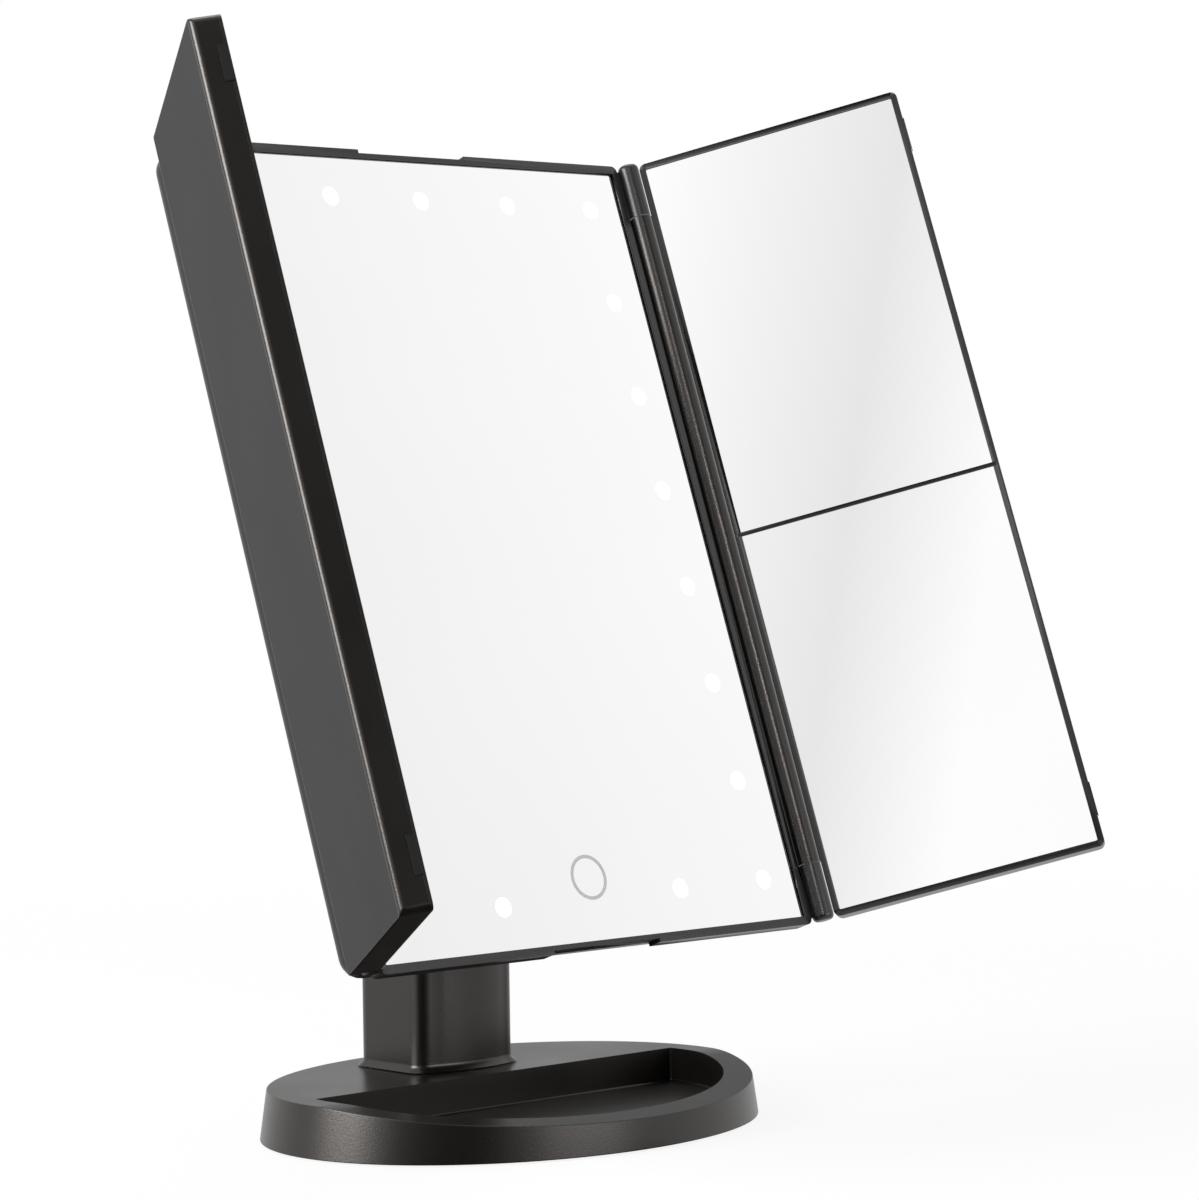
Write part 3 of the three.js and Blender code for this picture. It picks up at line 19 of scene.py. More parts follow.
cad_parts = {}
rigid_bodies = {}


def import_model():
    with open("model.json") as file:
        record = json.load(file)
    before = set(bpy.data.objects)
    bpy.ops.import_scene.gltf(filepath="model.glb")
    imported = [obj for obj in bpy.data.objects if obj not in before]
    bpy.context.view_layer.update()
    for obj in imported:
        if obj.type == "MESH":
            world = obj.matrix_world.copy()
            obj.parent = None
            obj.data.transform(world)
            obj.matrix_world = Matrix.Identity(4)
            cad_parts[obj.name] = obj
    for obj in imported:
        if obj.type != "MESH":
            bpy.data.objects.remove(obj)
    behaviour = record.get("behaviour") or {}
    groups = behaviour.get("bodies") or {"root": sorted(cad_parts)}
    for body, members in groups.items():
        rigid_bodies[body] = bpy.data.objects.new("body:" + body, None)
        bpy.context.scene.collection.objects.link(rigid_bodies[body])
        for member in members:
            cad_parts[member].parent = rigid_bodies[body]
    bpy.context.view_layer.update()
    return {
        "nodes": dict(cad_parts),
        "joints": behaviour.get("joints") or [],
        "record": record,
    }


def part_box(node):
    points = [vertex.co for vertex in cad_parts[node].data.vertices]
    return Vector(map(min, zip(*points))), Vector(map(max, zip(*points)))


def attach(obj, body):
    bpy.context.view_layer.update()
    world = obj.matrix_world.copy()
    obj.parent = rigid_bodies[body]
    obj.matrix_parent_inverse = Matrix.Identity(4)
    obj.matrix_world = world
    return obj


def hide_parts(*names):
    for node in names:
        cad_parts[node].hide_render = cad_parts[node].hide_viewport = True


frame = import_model()
MM = 0.001
print("pieces in the construction model:", len(frame["nodes"]))

# %% [markdown]
# ## Three local frames
#
# The head leans back, and each wing is swung forward. Modelling straight into those slanted places is hard,
# so each piece is modelled upright in a frame of its own, in millimetres, and moved into place at the end.
# In each frame x runs across the glass, y up it, and z out of it. The joints of the model say where these
# frames lie: a hinge axis gives a direction, and its range gives how far the wing is open.

# %% Frames of the head and the wings
def joint(name):
    return next(j for j in frame["joints"] if j["name"] == name)


def make_place(origin, across, up):
    place = Matrix((across, up, across.cross(up))).transposed().to_4x4()
    place.translation = origin
    return place


def span(node, place):
    """Lowest and highest corner of a node of the model in a local frame, in millimetres."""
    back = place.inverted()
    points = [back @ v.co for v in frame["nodes"][node].data.vertices]
    low = Vector(min(p[i] for p in points) for i in range(3))
    high = Vector(max(p[i] for p in points) for i in range(3))
    return low / MM, high / MM


def wing_place(hinge, side):
    """The wing's frame sits on its hinge pin, turned by how far the wing is open."""
    swing = math.radians(side * hinge["range_deg"][0])
    upright = make_place(Vector(hinge["pos_m"]), ACROSS, UP)
    return upright @ Matrix.Rotation(swing, 4, "Y")


ROW = Matrix.Identity(4)
ACROSS = Vector((1, 0, 0))
UP = -Vector(joint("right_wing_hinge")["axis"]).normalized()
glass_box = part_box("main_mirror")
glass_middle = make_place((glass_box[0] + glass_box[1]) / 2, ACROSS, UP)
glass_half_thick = span("main_mirror", glass_middle)[1].z
HEAD = glass_middle @ Matrix.Translation((0, 0, glass_half_thick * MM))
RIGHT = wing_place(joint("right_wing_hinge"), 1)
LEFT = wing_place(joint("left_wing_hinge"), -1)
lean = 90 - math.degrees(UP.angle(Vector((0, 1, 0))))
print("the head leans back by", round(lean, 1), "degrees from upright")

# %% [markdown]
# ## The camera
#
# The camera stands well to the left and only a little above the table, with a long lens, so the panels
# show almost no perspective. The place was worked out from the photographed outlines.

# %% Camera
CAMERA_PLACE = Vector((-0.7319, -0.8297, 0.17565))
CAMERA_AZIMUTH = -42.8
CAMERA_RISE = 1.35
CAMERA_ROLL = -0.82
LENS = 116.72
FILM_HEIGHT = 36.0


def add_camera():
    azimuth, rise, roll = (math.radians(a) for a in (CAMERA_AZIMUTH, CAMERA_RISE, CAMERA_ROLL))
    back = Vector((
        math.sin(azimuth) * math.cos(rise), -math.cos(azimuth) * math.cos(rise), math.sin(rise)))
    right = Vector((math.cos(azimuth), math.sin(azimuth), 0))
    up = back.cross(right)
    rolled_right = math.cos(roll) * right + math.sin(roll) * up
    rolled_up = math.cos(roll) * up - math.sin(roll) * right
    bpy.ops.object.camera_add()
    camera = bpy.context.active_object
    camera.matrix_world = make_place(CAMERA_PLACE, rolled_right, rolled_up)
    camera.data.sensor_fit = "VERTICAL"
    camera.data.sensor_height = FILM_HEIGHT
    camera.data.lens = LENS
    camera.data.clip_start = 0.01
    bpy.context.scene.camera = camera


add_camera()
print("camera", round(CAMERA_PLACE.length, 2), "m from the middle of the base, lens", LENS, "mm")

# %% [markdown]
# ## Small helpers for modelling
#
# A Blender operator works on whatever is selected, so each helper begins by clearing the selection. The
# helpers add a primitive, shape it in edit mode, and apply a modifier. Plates, rods and cuts made with them
# are enough for nearly every moulded part here.

# %% Helpers: select and edit
def only(piece):
    """Makes this piece the only selected one, in object mode."""
    if bpy.context.mode != "OBJECT":
        bpy.ops.object.mode_set(mode="OBJECT")
    bpy.ops.object.select_all(action="DESELECT")
    if piece:
        piece.select_set(True)
        bpy.context.view_layer.objects.active = piece
    return piece


def edit(piece, mode="FACE"):
    only(piece)
    bpy.ops.object.mode_set(mode="EDIT")
    bpy.ops.mesh.select_mode(type=mode)
    bpy.ops.mesh.select_all(action="DESELECT")


def edit_all(piece, mode="FACE"):
    edit(piece, mode)
    bpy.ops.mesh.select_all(action="SELECT")


def pick_faces(piece, test):
    """Opens edit mode with just the faces selected that pass the test."""
    edit(piece)
    bpy.ops.object.mode_set(mode="OBJECT")
    for face in piece.data.polygons:
        face.select = test(face)
    bpy.ops.object.mode_set(mode="EDIT")


# %% Helpers: outlines, plates and chains of rims
def outline(x0, x1, y0, y1, z, corner=0.0, steps=8):
    """A flat rectangle with rounded corners, as a single face."""
    only(None)
    bpy.ops.mesh.primitive_plane_add(size=1, location=((x0 + x1) / 2, (y0 + y1) / 2, z))
    piece = bpy.context.active_object
    piece.scale = (x1 - x0, y1 - y0, 1)
    bpy.ops.object.transform_apply(location=True, rotation=True, scale=True)
    if corner:
        edit_all(piece, "VERT")
        bpy.ops.mesh.bevel(offset=corner, segments=steps, affect="VERTICES")
        bpy.ops.object.mode_set(mode="OBJECT")
    return piece


def face_outwards(piece):
    edit_all(piece)
    bpy.ops.mesh.normals_make_consistent(inside=False)
    return only(piece)


def raise_up(piece, height):
    """Extrudes a flat outline into a closed block."""
    edit_all(piece)
    bpy.ops.mesh.extrude_region_move(TRANSFORM_OT_translate={"value": (0, 0, height)})
    return face_outwards(piece)


def plate(x0, x1, y0, y1, z0, z1, corner=0.0, steps=8):
    return raise_up(outline(x0, x1, y0, y1, z0, corner, steps), z1 - z0)


def sided(side, a, b):
    """Two coordinates on one side of the middle, the lower one first."""
    return sorted((side * a, side * b))


def inset(box, by):
    """A flat box (x0, x1, y0, y1) that lies inside another."""
    x0, x1, y0, y1 = box
    return x0 + by, x1 - by, y0 + by, y1 - by


def soft_back(box, corner, back, radius, steps=6, end_share=1.0):
    """The rims that round a block's rear edge, from its wall to its flat back.

    With an end share below 1 the two short ends keep a crisper edge than the long sides.
    """
    x0, x1, y0, y1 = box
    rims = []
    for step in range(steps + 1):
        turn = math.pi / 2 * step / steps
        by = radius * (1 - math.cos(turn))
        end = by * end_share
        height = back + radius * (1 - math.sin(turn))
        rims.append((x0 + by, x1 - by, y0 + end, y1 - end, height, max(corner - by, 0.5)))
    return rims


def on_rim(point, old, new):
    """Moves a point of one rounded rim to another: to the same corner, and the same way round it."""
    place = [0, 0, new[4]]
    for axis in (0, 1):
        old_low, old_high = old[2 * axis:2 * axis + 2]
        new_low, new_high = new[2 * axis:2 * axis + 2]
        high_side = point[axis] > (old_low + old_high) / 2
        old_centre = old_high - old[5] if high_side else old_low + old[5]
        new_centre = new_high - new[5] if high_side else new_low + new[5]
        place[axis] = new_centre + (point[axis] - old_centre) * new[5] / old[5]
    return place


def chained(rims, closed, steps=6):
    """Extrudes a rounded outline through a chain of rims (x0, x1, y0, y1, z, corner).

    An open chain is a block. A closed one goes back to its first rim: a frame round an opening.
    """
    piece = outline(*rims[0], steps)
    edit_all(piece)
    route = [*rims, rims[0]] if closed else rims
    for old, new in zip(route, route[1:]):
        bpy.ops.mesh.extrude_region_move(TRANSFORM_OT_translate={"value": (0, 0, 0)})
        bpy.ops.object.mode_set(mode="OBJECT")
        for point in piece.data.vertices:
            if point.select:
                point.co = on_rim(point.co, old, new)
        bpy.ops.object.mode_set(mode="EDIT")
    if closed:
        pick_faces(piece, lambda face: len(face.vertices) > 4)
        bpy.ops.mesh.delete(type="FACE")
        bpy.ops.mesh.select_all(action="SELECT")
        bpy.ops.mesh.remove_doubles(threshold=0.001)
    return face_outwards(piece)


# %% Helpers: round parts
def turned(profile, sides=64):
    """A round part built ring by ring from (radius, height) pairs, as on a lathe."""
    only(None)
    radius, height = profile[0]
    bpy.ops.mesh.primitive_circle_add(
        vertices=sides, radius=radius, fill_type="NGON", location=(0, 0, height))
    bpy.ops.object.transform_apply(location=True, rotation=False, scale=False)
    piece = bpy.context.active_object
    edit_all(piece)
    for next_radius, next_height in profile[1:]:
        bpy.ops.mesh.extrude_region_move(TRANSFORM_OT_translate={"value": (0, 0, next_height - height)})
        share = next_radius / radius
        bpy.ops.transform.resize(value=(share, share, 1))
        radius, height = next_radius, next_height
    return face_outwards(piece)


ALONG = {
    "x": Matrix(((0, 0, 1, 0), (1, 0, 0, 0), (0, 1, 0, 0), (0, 0, 0, 1))),
    "y": Matrix(((0, 1, 0, 0), (0, 0, 1, 0), (1, 0, 0, 0), (0, 0, 0, 1))),
    "z": Matrix.Identity(4),
}


def lay(piece, axis, at=(0, 0, 0)):
    """Turns a piece that was made along z to lie along another axis, and moves it."""
    piece.data.transform(Matrix.Translation(at) @ ALONG[axis])
    return piece


def rod(axis, radius, start, end, at=(0, 0, 0), sides=64):
    """A round bar along x, y or z, from one coordinate to another on that axis."""
    turns = {"x": (0, math.pi / 2, 0), "y": (math.pi / 2, 0, 0), "z": (0, 0, 0)}
    centre = list(at)
    centre["xyz".index(axis)] = (start + end) / 2
    only(None)
    bpy.ops.mesh.primitive_cylinder_add(
        vertices=sides, radius=radius, depth=end - start, location=centre, rotation=turns[axis])
    bpy.ops.object.transform_apply(location=True, rotation=True, scale=True)
    return bpy.context.active_object


# %% Helpers: cut, join and soften
def apply_modifiers(piece):
    only(piece)
    for modifier in list(piece.modifiers):
        bpy.ops.object.modifier_apply(modifier=modifier.name)
    return piece


def combine(piece, how, *tools):
    """Cuts the tools out of a piece, or joins them to it, and removes them."""
    for tool in tools:
        boolean = piece.modifiers.new("combine", "BOOLEAN")
        boolean.operation = how
        boolean.solver = "EXACT"
        boolean.object = tool
        apply_modifiers(piece)
        bpy.data.objects.remove(tool)
    return piece


def cut(piece, *tools):
    return combine(piece, "DIFFERENCE", *tools)


def join(piece, *tools):
    return combine(piece, "UNION", *tools)


def slice_at(piece, at, normal, take_off=False):
    """Splits faces along a plane, or takes off all that lies past it and closes the cut."""
    edit_all(piece)
    bpy.ops.mesh.bisect(plane_co=at, plane_no=normal, use_fill=take_off, clear_outer=take_off)
    return only(piece)


def score(piece, axis, *values):
    """Splits faces along planes across an axis. A face that wraps round a cut would tear when bevelled."""
    normal = Vector([float(axis == name) for name in "xyz"])
    for value in values:
        slice_at(piece, normal * value, normal)
    return piece


def round_edges(piece, test, radius, steps=6):
    """Bevels the border of the faces that pass the test."""
    pick_faces(piece, test)
    bpy.ops.mesh.region_to_loop()
    bpy.ops.mesh.bevel(offset=radius, segments=steps, affect="EDGES", clamp_overlap=True)
    return only(piece)


def soften(piece, width, steps=3, angle=40):
    """Gives every sharp edge a small radius, so that it catches the light as a moulded edge does."""
    bevel = piece.modifiers.new("edge", "BEVEL")
    bevel.width = width
    bevel.segments = steps
    bevel.limit_method = "ANGLE"
    bevel.angle_limit = math.radians(angle)
    bevel.miter_outer = "MITER_ARC"
    return apply_modifiers(piece)


def smooth(piece, angle=35):
    """Smooth shading that keeps large flat faces flat."""
    only(piece)
    bpy.ops.object.shade_smooth_by_angle(angle=math.radians(angle))
    weighted = piece.modifiers.new("normals", "WEIGHTED_NORMAL")
    weighted.keep_sharp = True
    return apply_modifiers(piece)


# %% [markdown]
# ## Small helpers for finishes
#
# Colours are written as the hex values that one would pick from a picture, and Blender computes with linear
# light, so one function converts them. Another adds a node together with its settings and its links. Noise
# reads Object coordinates, which are metres here, so a pattern's scale is one over its real size. Nearly all
# finishes share one plan, a fine noise that varies the colour, the gloss and the relief a little, so one
# function makes them.

# %% Helpers: colour, node, material
def linear(hex_colour):
    parts = [int(hex_colour[i:i + 2], 16) / 255 for i in (1, 3, 5)]
    return [c / 12.92 if c <= 0.04045 else ((c + 0.055) / 1.055) ** 2.4 for c in parts] + [1.0]


def per_metre(size_mm):
    """Texture scale for a pattern whose grains are this many millimetres apart."""
    return 1 / (size_mm * MM)


def add_node(tree, kind, settings=(), **inputs):
    """Adds a ShaderNode of a kind, sets its own settings, and fills its inputs with values or links."""
    node = tree.nodes.new("ShaderNode" + kind)
    for name, value in dict(settings).items():
        setattr(node, name, value)
    for name, value in inputs.items():
        socket = node.inputs[int(name[2:])] if name.startswith("in") else node.inputs[name.replace("_", " ")]
        if isinstance(value, tuple) and isinstance(value[0], bpy.types.Node):
            tree.links.new(value[0].outputs[value[1]], socket)
        else:
            socket.default_value = value
    return node


def mix_colours(tree, share, dark, light):
    """A colour that moves between two hex colours with a noise."""
    return add_node(tree, "Mix", {"data_type": "RGBA"}, in0=share, in6=linear(dark), in7=linear(light))


def mix_values(tree, share, low, high):
    return add_node(tree, "Mix", {"data_type": "FLOAT"}, in0=share, in2=low, in3=high)


def new_material(name):
    """A bare material, its node tree, and the Object coordinates that its patterns read."""
    material = bpy.data.materials.new(name)
    material.use_nodes = True
    tree = material.node_tree
    tree.nodes.clear()
    place = add_node(tree, "TexCoord")
    return material, tree, (place, "Object")


def finish_material(tree, shader, output="BSDF"):
    add_node(tree, "OutputMaterial", Surface=(shader, output))


def make_finish(name, dark, light, roughness, grain_mm, detail=3.0, stretch=1.0, swing=0.0, swing_mm=0,
                bump=0.0, depth_mm=0.05, **more):
    """A material whose colour, gloss and relief follow a fine noise.

    The gloss swings with that noise, or with a slower one of its own. More inputs of the shader are given
    by name.
    """
    material, tree, place = new_material(name)
    if stretch != 1.0:
        place = (add_node(tree, "Mapping", Vector=place, Scale=(1, stretch, 1)), "Vector")
    grain = add_node(tree, "TexNoise", Vector=place, Scale=per_metre(grain_mm), Detail=detail)
    colour = mix_colours(tree, (grain, "Fac"), dark, light)
    more.update(Base_Color=(colour, "Result"), Roughness=roughness)
    if swing:
        slow = grain
        if swing_mm:
            slow = add_node(tree, "TexNoise", Vector=place, Scale=per_metre(swing_mm), Detail=4.0)
        gloss = add_node(
            tree, "MapRange", Value=(slow, "Fac"), To_Min=roughness - swing, To_Max=roughness + swing)
        more["Roughness"] = (gloss, "Result")
    if bump:
        relief = add_node(tree, "Bump", Height=(grain, "Fac"), Strength=bump, Distance=depth_mm * MM)
        more["Normal"] = (relief, "Normal")
    finish_material(tree, add_node(tree, "BsdfPrincipled", **more))
    return material


finishes = {}

# %% [markdown]
# ## Moulded ABS
#
# The base, column, wings and rear cover are injection-moulded ABS. Its mould was spark-eroded, which leaves
# a fine even grain that breaks up reflections: the surface is satin, not glossy, and edges show a soft
# bright line. The real grain is about a tenth of a millimetre and would vanish in the picture, so it is
# drawn some five times coarser. A slow second noise varies the gloss as handling does. The colour is near
# black, since most of what the eye sees on such plastic is sheen: it is slightly warm on the large
# mouldings and neutral on the frame, and the wings' broad backs have a deeper, matt texture.

# %% Satin ABS
GRAIN_MM = 0.55
HANDLING_MM = 38


def satin_abs(name, dark, light, sheen, roughness, bump, ior=1.53):
    return make_finish(
        name, dark, light, roughness, GRAIN_MM, 2.0, swing=0.05, swing_mm=HANDLING_MM, bump=bump,
        IOR=ior, Specular_Tint=linear(sheen))


finishes["black_plastic"] = satin_abs("spark_eroded_abs", "#090807", "#110f0e", "#fff8f3", 0.3, 0.5)
finishes["frame_plastic"] = satin_abs("fine_textured_abs", "#0d0d0c", "#141413", "#ffffff", 0.33, 0.3)
finishes["wing_back"] = satin_abs("matt_textured_abs", "#0b0b0b", "#0f0f0f", "#ffffff", 0.74, 0.1, 1.45)

# %% [markdown]
# ## Silvered glass
#
# A mirror is float glass with silver on its rear face. Almost all light comes back, so the shader is a
# metal, nearly white, with next to no roughness. A faint cloudiness keeps it from being perfect. The two
# kinds of opening in the silver are finished apart: the LED windows are etched and lit from behind, and
# the ring that marks the touch switch shows the grey film behind it.

# %% Mirror, LED window and touch mark
CLOUD_MM = 60


def lit_window():
    material, tree, place = new_material("etched_glass_lit_from_behind")
    etch = add_node(tree, "TexNoise", Vector=place, Scale=per_metre(0.4), Detail=2.0)
    glow = mix_colours(tree, (etch, "Fac"), "#fdfeff", "#ffffff")
    relief = add_node(tree, "Bump", Height=(etch, "Fac"), Strength=0.2, Distance=0.02 * MM)
    shader = add_node(
        tree, "BsdfPrincipled", Base_Color=linear("#f4f4f4"), Roughness=0.6,
        Normal=(relief, "Normal"), Emission_Color=(glow, "Result"), Emission_Strength=1.0)
    finish_material(tree, shader)
    return material


finishes["mirror_glass"] = make_finish(
    "silvered_float_glass", "#fbfbfb", "#fefefe", 0.015, CLOUD_MM, swing=0.015, Metallic=1.0)
finishes["lit_window"] = lit_window()
finishes["touch_film"] = make_finish(
    "grey_film_behind_glass", "#c2c2c6", "#cacace", 0.25, 0.5, 2.0, Metallic=0.6)

# %% [markdown]
# ## Plated steel, and the materials inside
#
# Screws are zinc-plated and the battery contacts nickel-plated: both are metals with a slightly uneven
# plating, which a stretched noise in the roughness gives. The plate inside the base is cut steel with mill
# scale. The other inner parts are plain plastics, foam and solder mask, and each has the fine speckle or
# cell structure of its kind.

# %% Plated and cut steel
def plated(name, dark, light, roughness, grain_mm, stretch=1.0):
    return make_finish(
        name, dark, light, roughness, grain_mm, stretch=stretch, swing=0.08, bump=0.15, depth_mm=0.02,
        Metallic=1.0)


finishes["screw_steel"] = plated("zinc_plated_steel", "#a9adb2", "#c3c6ca", 0.32, 0.8)
finishes["contact_steel"] = plated("nickel_plated_strip", "#b9b8b3", "#cfcec9", 0.24, 1.2, 0.25)
finishes["ballast_iron"] = plated("cut_plate_with_mill_scale", "#4a4c50", "#6a6c70", 0.55, 6)
finishes["copper"] = plated("bare_copper", "#a8623c", "#c47b50", 0.3, 1.5)


# %% Rubber, solder mask, acrylic, foam and shrink sleeve
def speckled(name, dark, light, roughness, grain_mm, bump, depth_mm):
    return make_finish(name, dark, light, roughness, grain_mm, bump=bump, depth_mm=depth_mm)


finishes["pad_rubber"] = speckled("eva_rubber_sheet", "#141414", "#1e1e1d", 0.85, 0.7, 0.5, 0.1)
finishes["white_plastic"] = speckled("diffusing_acrylic", "#efeeea", "#f6f5f1", 0.5, 1.5, 0.1, 0.05)
finishes["led_board"] = speckled("white_solder_mask", "#e4e6e1", "#eef0ec", 0.4, 0.8, 0.15, 0.03)
finishes["circuit_board"] = speckled("green_solder_mask", "#1b4f35", "#27684a", 0.35, 1.0, 0.2, 0.05)
finishes["cell_sleeve"] = speckled("pvc_shrink_sleeve", "#2f6180", "#3a7193", 0.3, 3.0, 0.1, 0.05)
finishes["backing_foam"] = speckled("closed_cell_foam", "#3f3f3f", "#545454", 0.95, 0.6, 0.8, 0.3)
print("finishes:", ", ".join(finishes))

# %% [markdown]
# ## Finishes for the construction model
#
# Pieces that stay hidden inside keep the construction model's shape, and each takes the finish that the
# model's record names for it.

# %% Dress the model's own pieces
slot_of = {part["node"]: part["material_slot"] for part in frame["record"]["subparts"]}
for name, node in frame["nodes"].items():
    node.data.materials.clear()
    node.data.materials.append(finishes[slot_of[name]])


# %% [markdown]
# Every finished piece goes through one function. It moves the piece to its place, names it and gives it its
# finish. It also parents the piece to the body it moves with, and hides the model's nodes that it replaces.

# %% Settle a finished piece in its place
def settle(piece, name, place, body, nodes, finish=None):
    """Moves a piece from its local frame to the row's frame and hides the nodes that it replaces."""
    piece.data.transform(place @ Matrix.Scale(MM, 4))
    piece.name = piece.data.name = name
    slot = slot_of[nodes[0]] if nodes else finish
    piece.data.materials.clear()
    piece.data.materials.append(finishes[finish or slot])
    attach(piece, body)
    if nodes:
        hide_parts(*nodes)
    print("made", name, "with", len(piece.data.polygons), "faces")


# %% [markdown]
# ## The oval base
#
# The base is one thin moulding. Its wall leans in a little towards the deck, so that it leaves the mould,
# and the deck's edge is nearly crisp. The deck is level round the column and slopes down to the front edge.
# The front half is sunk into a tray with a straight rear wall. A cylinder squeezed into an oval makes the
# body, and a slanted plane takes its front part off. The tray and the hollow underneath are cut out with
# tools whose lower edges are already rounded, which leaves the tray a soft inside corner.

# %% Base shell
BASE_WALL = 2.4
BASE_EDGE = 0.8
SKIRT_EDGE = 0.3
BASE_LEAN = 2.2
SKIRT_LIFT = 0.5
TRAY_RIM = 8.0
TRAY_BACK_Y = 5.5
TRAY_DEPTH = 9.8
TRAY_FLOOR = 1.8
TRAY_FILLET = 1.6
TRAY_CORNER = 2.2
SLOPE_LENGTH = 52.0
SLOPE_DROP = 5.8
SLOPE_BEND = 5.0
BEND_STEPS = 6
OVAL_SIDES = 256

base_high = span("base_shell", ROW)[1]
base_a, base_b = base_high.x, base_high.y


def oval(a, b, z0, z1, sides=OVAL_SIDES):
    """An upright oval block."""
    block = rod("z", 1, z0, z1, sides=sides)
    block.scale = (a, b, 1)
    bpy.ops.object.transform_apply(location=False, rotation=False, scale=True)
    return block


def tray_tool(grow, z0, z1, fillet):
    """The tray's space: the front part of an oval, cut off straight at the back."""
    ratio = base_b / base_a
    a = base_a - BASE_LEAN - TRAY_RIM + grow
    b = (base_a - BASE_LEAN) * ratio - TRAY_RIM + grow
    tool = oval(a, b, z0, z1)
    slice_at(tool, (0, TRAY_BACK_Y + grow, 0), (0, 1, 0), take_off=True)
    if fillet:
        corners = tool.modifiers.new("corners", "BEVEL")
        corners.width = TRAY_CORNER
        corners.segments = 5
        corners.limit_method = "ANGLE"
        corners.angle_limit = math.radians(40)
        apply_modifiers(tool)
        round_edges(tool, lambda face: face.normal.z < -0.9, fillet)
    return tool


def slope_off(block, top):
    """Takes the front of an upright block off along a slope that begins with a soft bend."""
    start = SLOPE_LENGTH - base_b
    fall = SLOPE_DROP / SLOPE_LENGTH
    for step in range(1, BEND_STEPS + 1):
        share = step / BEND_STEPS
        at = (0, start + SLOPE_BEND * (1 - 2 * share), top - fall * SLOPE_BEND * share ** 2)
        slice_at(block, at, (0, -fall * share, 1), take_off=True)
    return face_outwards(block)


def make_base():
    base = oval(base_a, base_b, SKIRT_LIFT, base_high.z)
    shrink = (base_a - BASE_LEAN) / base_a
    pick_faces(base, lambda face: face.normal.z > 0.9)
    bpy.ops.transform.resize(value=(shrink, shrink, 1))
    slope_off(base, base_high.z)
    round_edges(base, lambda face: face.normal.z > 0.9, BASE_EDGE, 4)
    round_edges(base, lambda face: face.normal.z < -0.9, SKIRT_EDGE, 2)
    floor_z = base_high.z - TRAY_DEPTH
    hollow = oval(base_a - BASE_WALL - BASE_LEAN / 2, base_b - BASE_WALL - BASE_LEAN / 2,
                  -1, base_high.z - BASE_WALL)
    slope_off(hollow, base_high.z - BASE_WALL)
    cut(hollow, tray_tool(BASE_WALL, floor_z - TRAY_FLOOR, base_high.z + 1, 0))
    cut(base, hollow, tray_tool(0, floor_z, base_high.z + 5, TRAY_FILLET))
    return smooth(soften(base, 0.35, 3, 50))


settle(make_base(), "oval_base", ROW, "stand", ["base_shell"])

# %% [markdown]
# The base stands on a sheet of rubber, which shows as a thin dark line under the skirt. It is a flat oval
# with a worn edge.

# %% Rubber foot
def make_foot():
    low, high = span("base_pad", ROW)
    foot = oval(high.x, high.y, low.z, high.z, 192)
    return smooth(soften(foot, 0.25, 2, 50))


settle(make_foot(), "rubber_foot", ROW, "stand", ["base_pad"])

# %% [markdown]
# ## The column
#
# The column is a hollow moulding with a slightly bowed front and a foot that flares where it meets the
# deck. Above its shoulders it narrows to the knuckle of the tilt hinge. A flat outline is bowed and
# extruded, two slanted cuts shape the shoulders, and a rod makes the knuckle.

# %% Column
GAP = 0.3
COLUMN_CORNER = 5.0
COLUMN_CROWN = 2.2
MODEL_CROWN = 1.2
COLUMN_FLARE = 1.3
SIDE_REACH = 40
FLARE_STEPS = ((2.2, 0.0), (1.2, 0.25), (0.5, 0.7), (0.0, 1.0))
KNUCKLE_RADIUS = 8.5
SHOULDER_DROP = 18.0
BACK_DROP = 30.0

pivot = Vector(joint("head_tilt")["pos_m"]) / MM
column_low, column_high = span("column", ROW)
knuckle_half = span("friction_washer_right", HEAD)[0].x - GAP


def make_column():
    half = column_high.x - COLUMN_FLARE
    front = column_low.y + COLUMN_FLARE + MODEL_CROWN
    back = column_high.y - COLUMN_FLARE
    foot = column_low.z
    section = outline(-half, half, front, back, foot, COLUMN_CORNER, 10)
    edit(section, "EDGE")
    bpy.ops.object.mode_set(mode="OBJECT")
    points = section.data.vertices
    for line in section.data.edges:
        line.select = all(abs(points[i].co.y - front) < 0.01 for i in line.vertices)
    bpy.ops.object.mode_set(mode="EDIT")
    bpy.ops.mesh.subdivide(number_cuts=15)
    bpy.ops.object.mode_set(mode="OBJECT")
    flat = half - COLUMN_CORNER
    for point in section.data.vertices:
        if abs(point.co.y - front) < 0.01:
            point.co.y -= COLUMN_CROWN * (1 - (point.co.x / flat) ** 2)
    column = raise_up(section, pivot.z - foot)

    middle = (front + back) / 2
    score(column, "z", *[foot + height for height, _ in FLARE_STEPS[:-1]])
    for point in column.data.vertices:
        for height, share in FLARE_STEPS:
            if abs(point.co.z - foot - height) < 0.01:
                grow = share * COLUMN_FLARE
                point.co.x *= 1 + grow / half
                point.co.y = middle + (point.co.y - middle) * (1 + grow / (back - middle))

    slopes = (
        ((0, front - COLUMN_CROWN, pivot.z - SHOULDER_DROP), (0, pivot.y - KNUCKLE_RADIUS, pivot.z), -1),
        ((0, back, pivot.z - BACK_DROP), (0, pivot.y + KNUCKLE_RADIUS, pivot.z), 1),
    )
    for low, high, side in slopes:
        run = Vector(high) - Vector(low)
        outward = Vector((0, side * run.z, -side * run.y)).normalized()
        slice_at(column, low, outward, take_off=True)

    shoulder = pivot.z - SHOULDER_DROP
    depth = (column_low.y - SIDE_REACH, column_high.y + SIDE_REACH)
    cut(column, *[plate(*sided(side, knuckle_half, SIDE_REACH), *depth, shoulder, pivot.z + SIDE_REACH)
                  for side in (-1, 1)])
    join(column, rod("x", KNUCKLE_RADIUS, -knuckle_half, knuckle_half, pivot))
    return smooth(soften(column, 0.5))


settle(make_column(), "stand_column", ROW, "stand", ["column"])

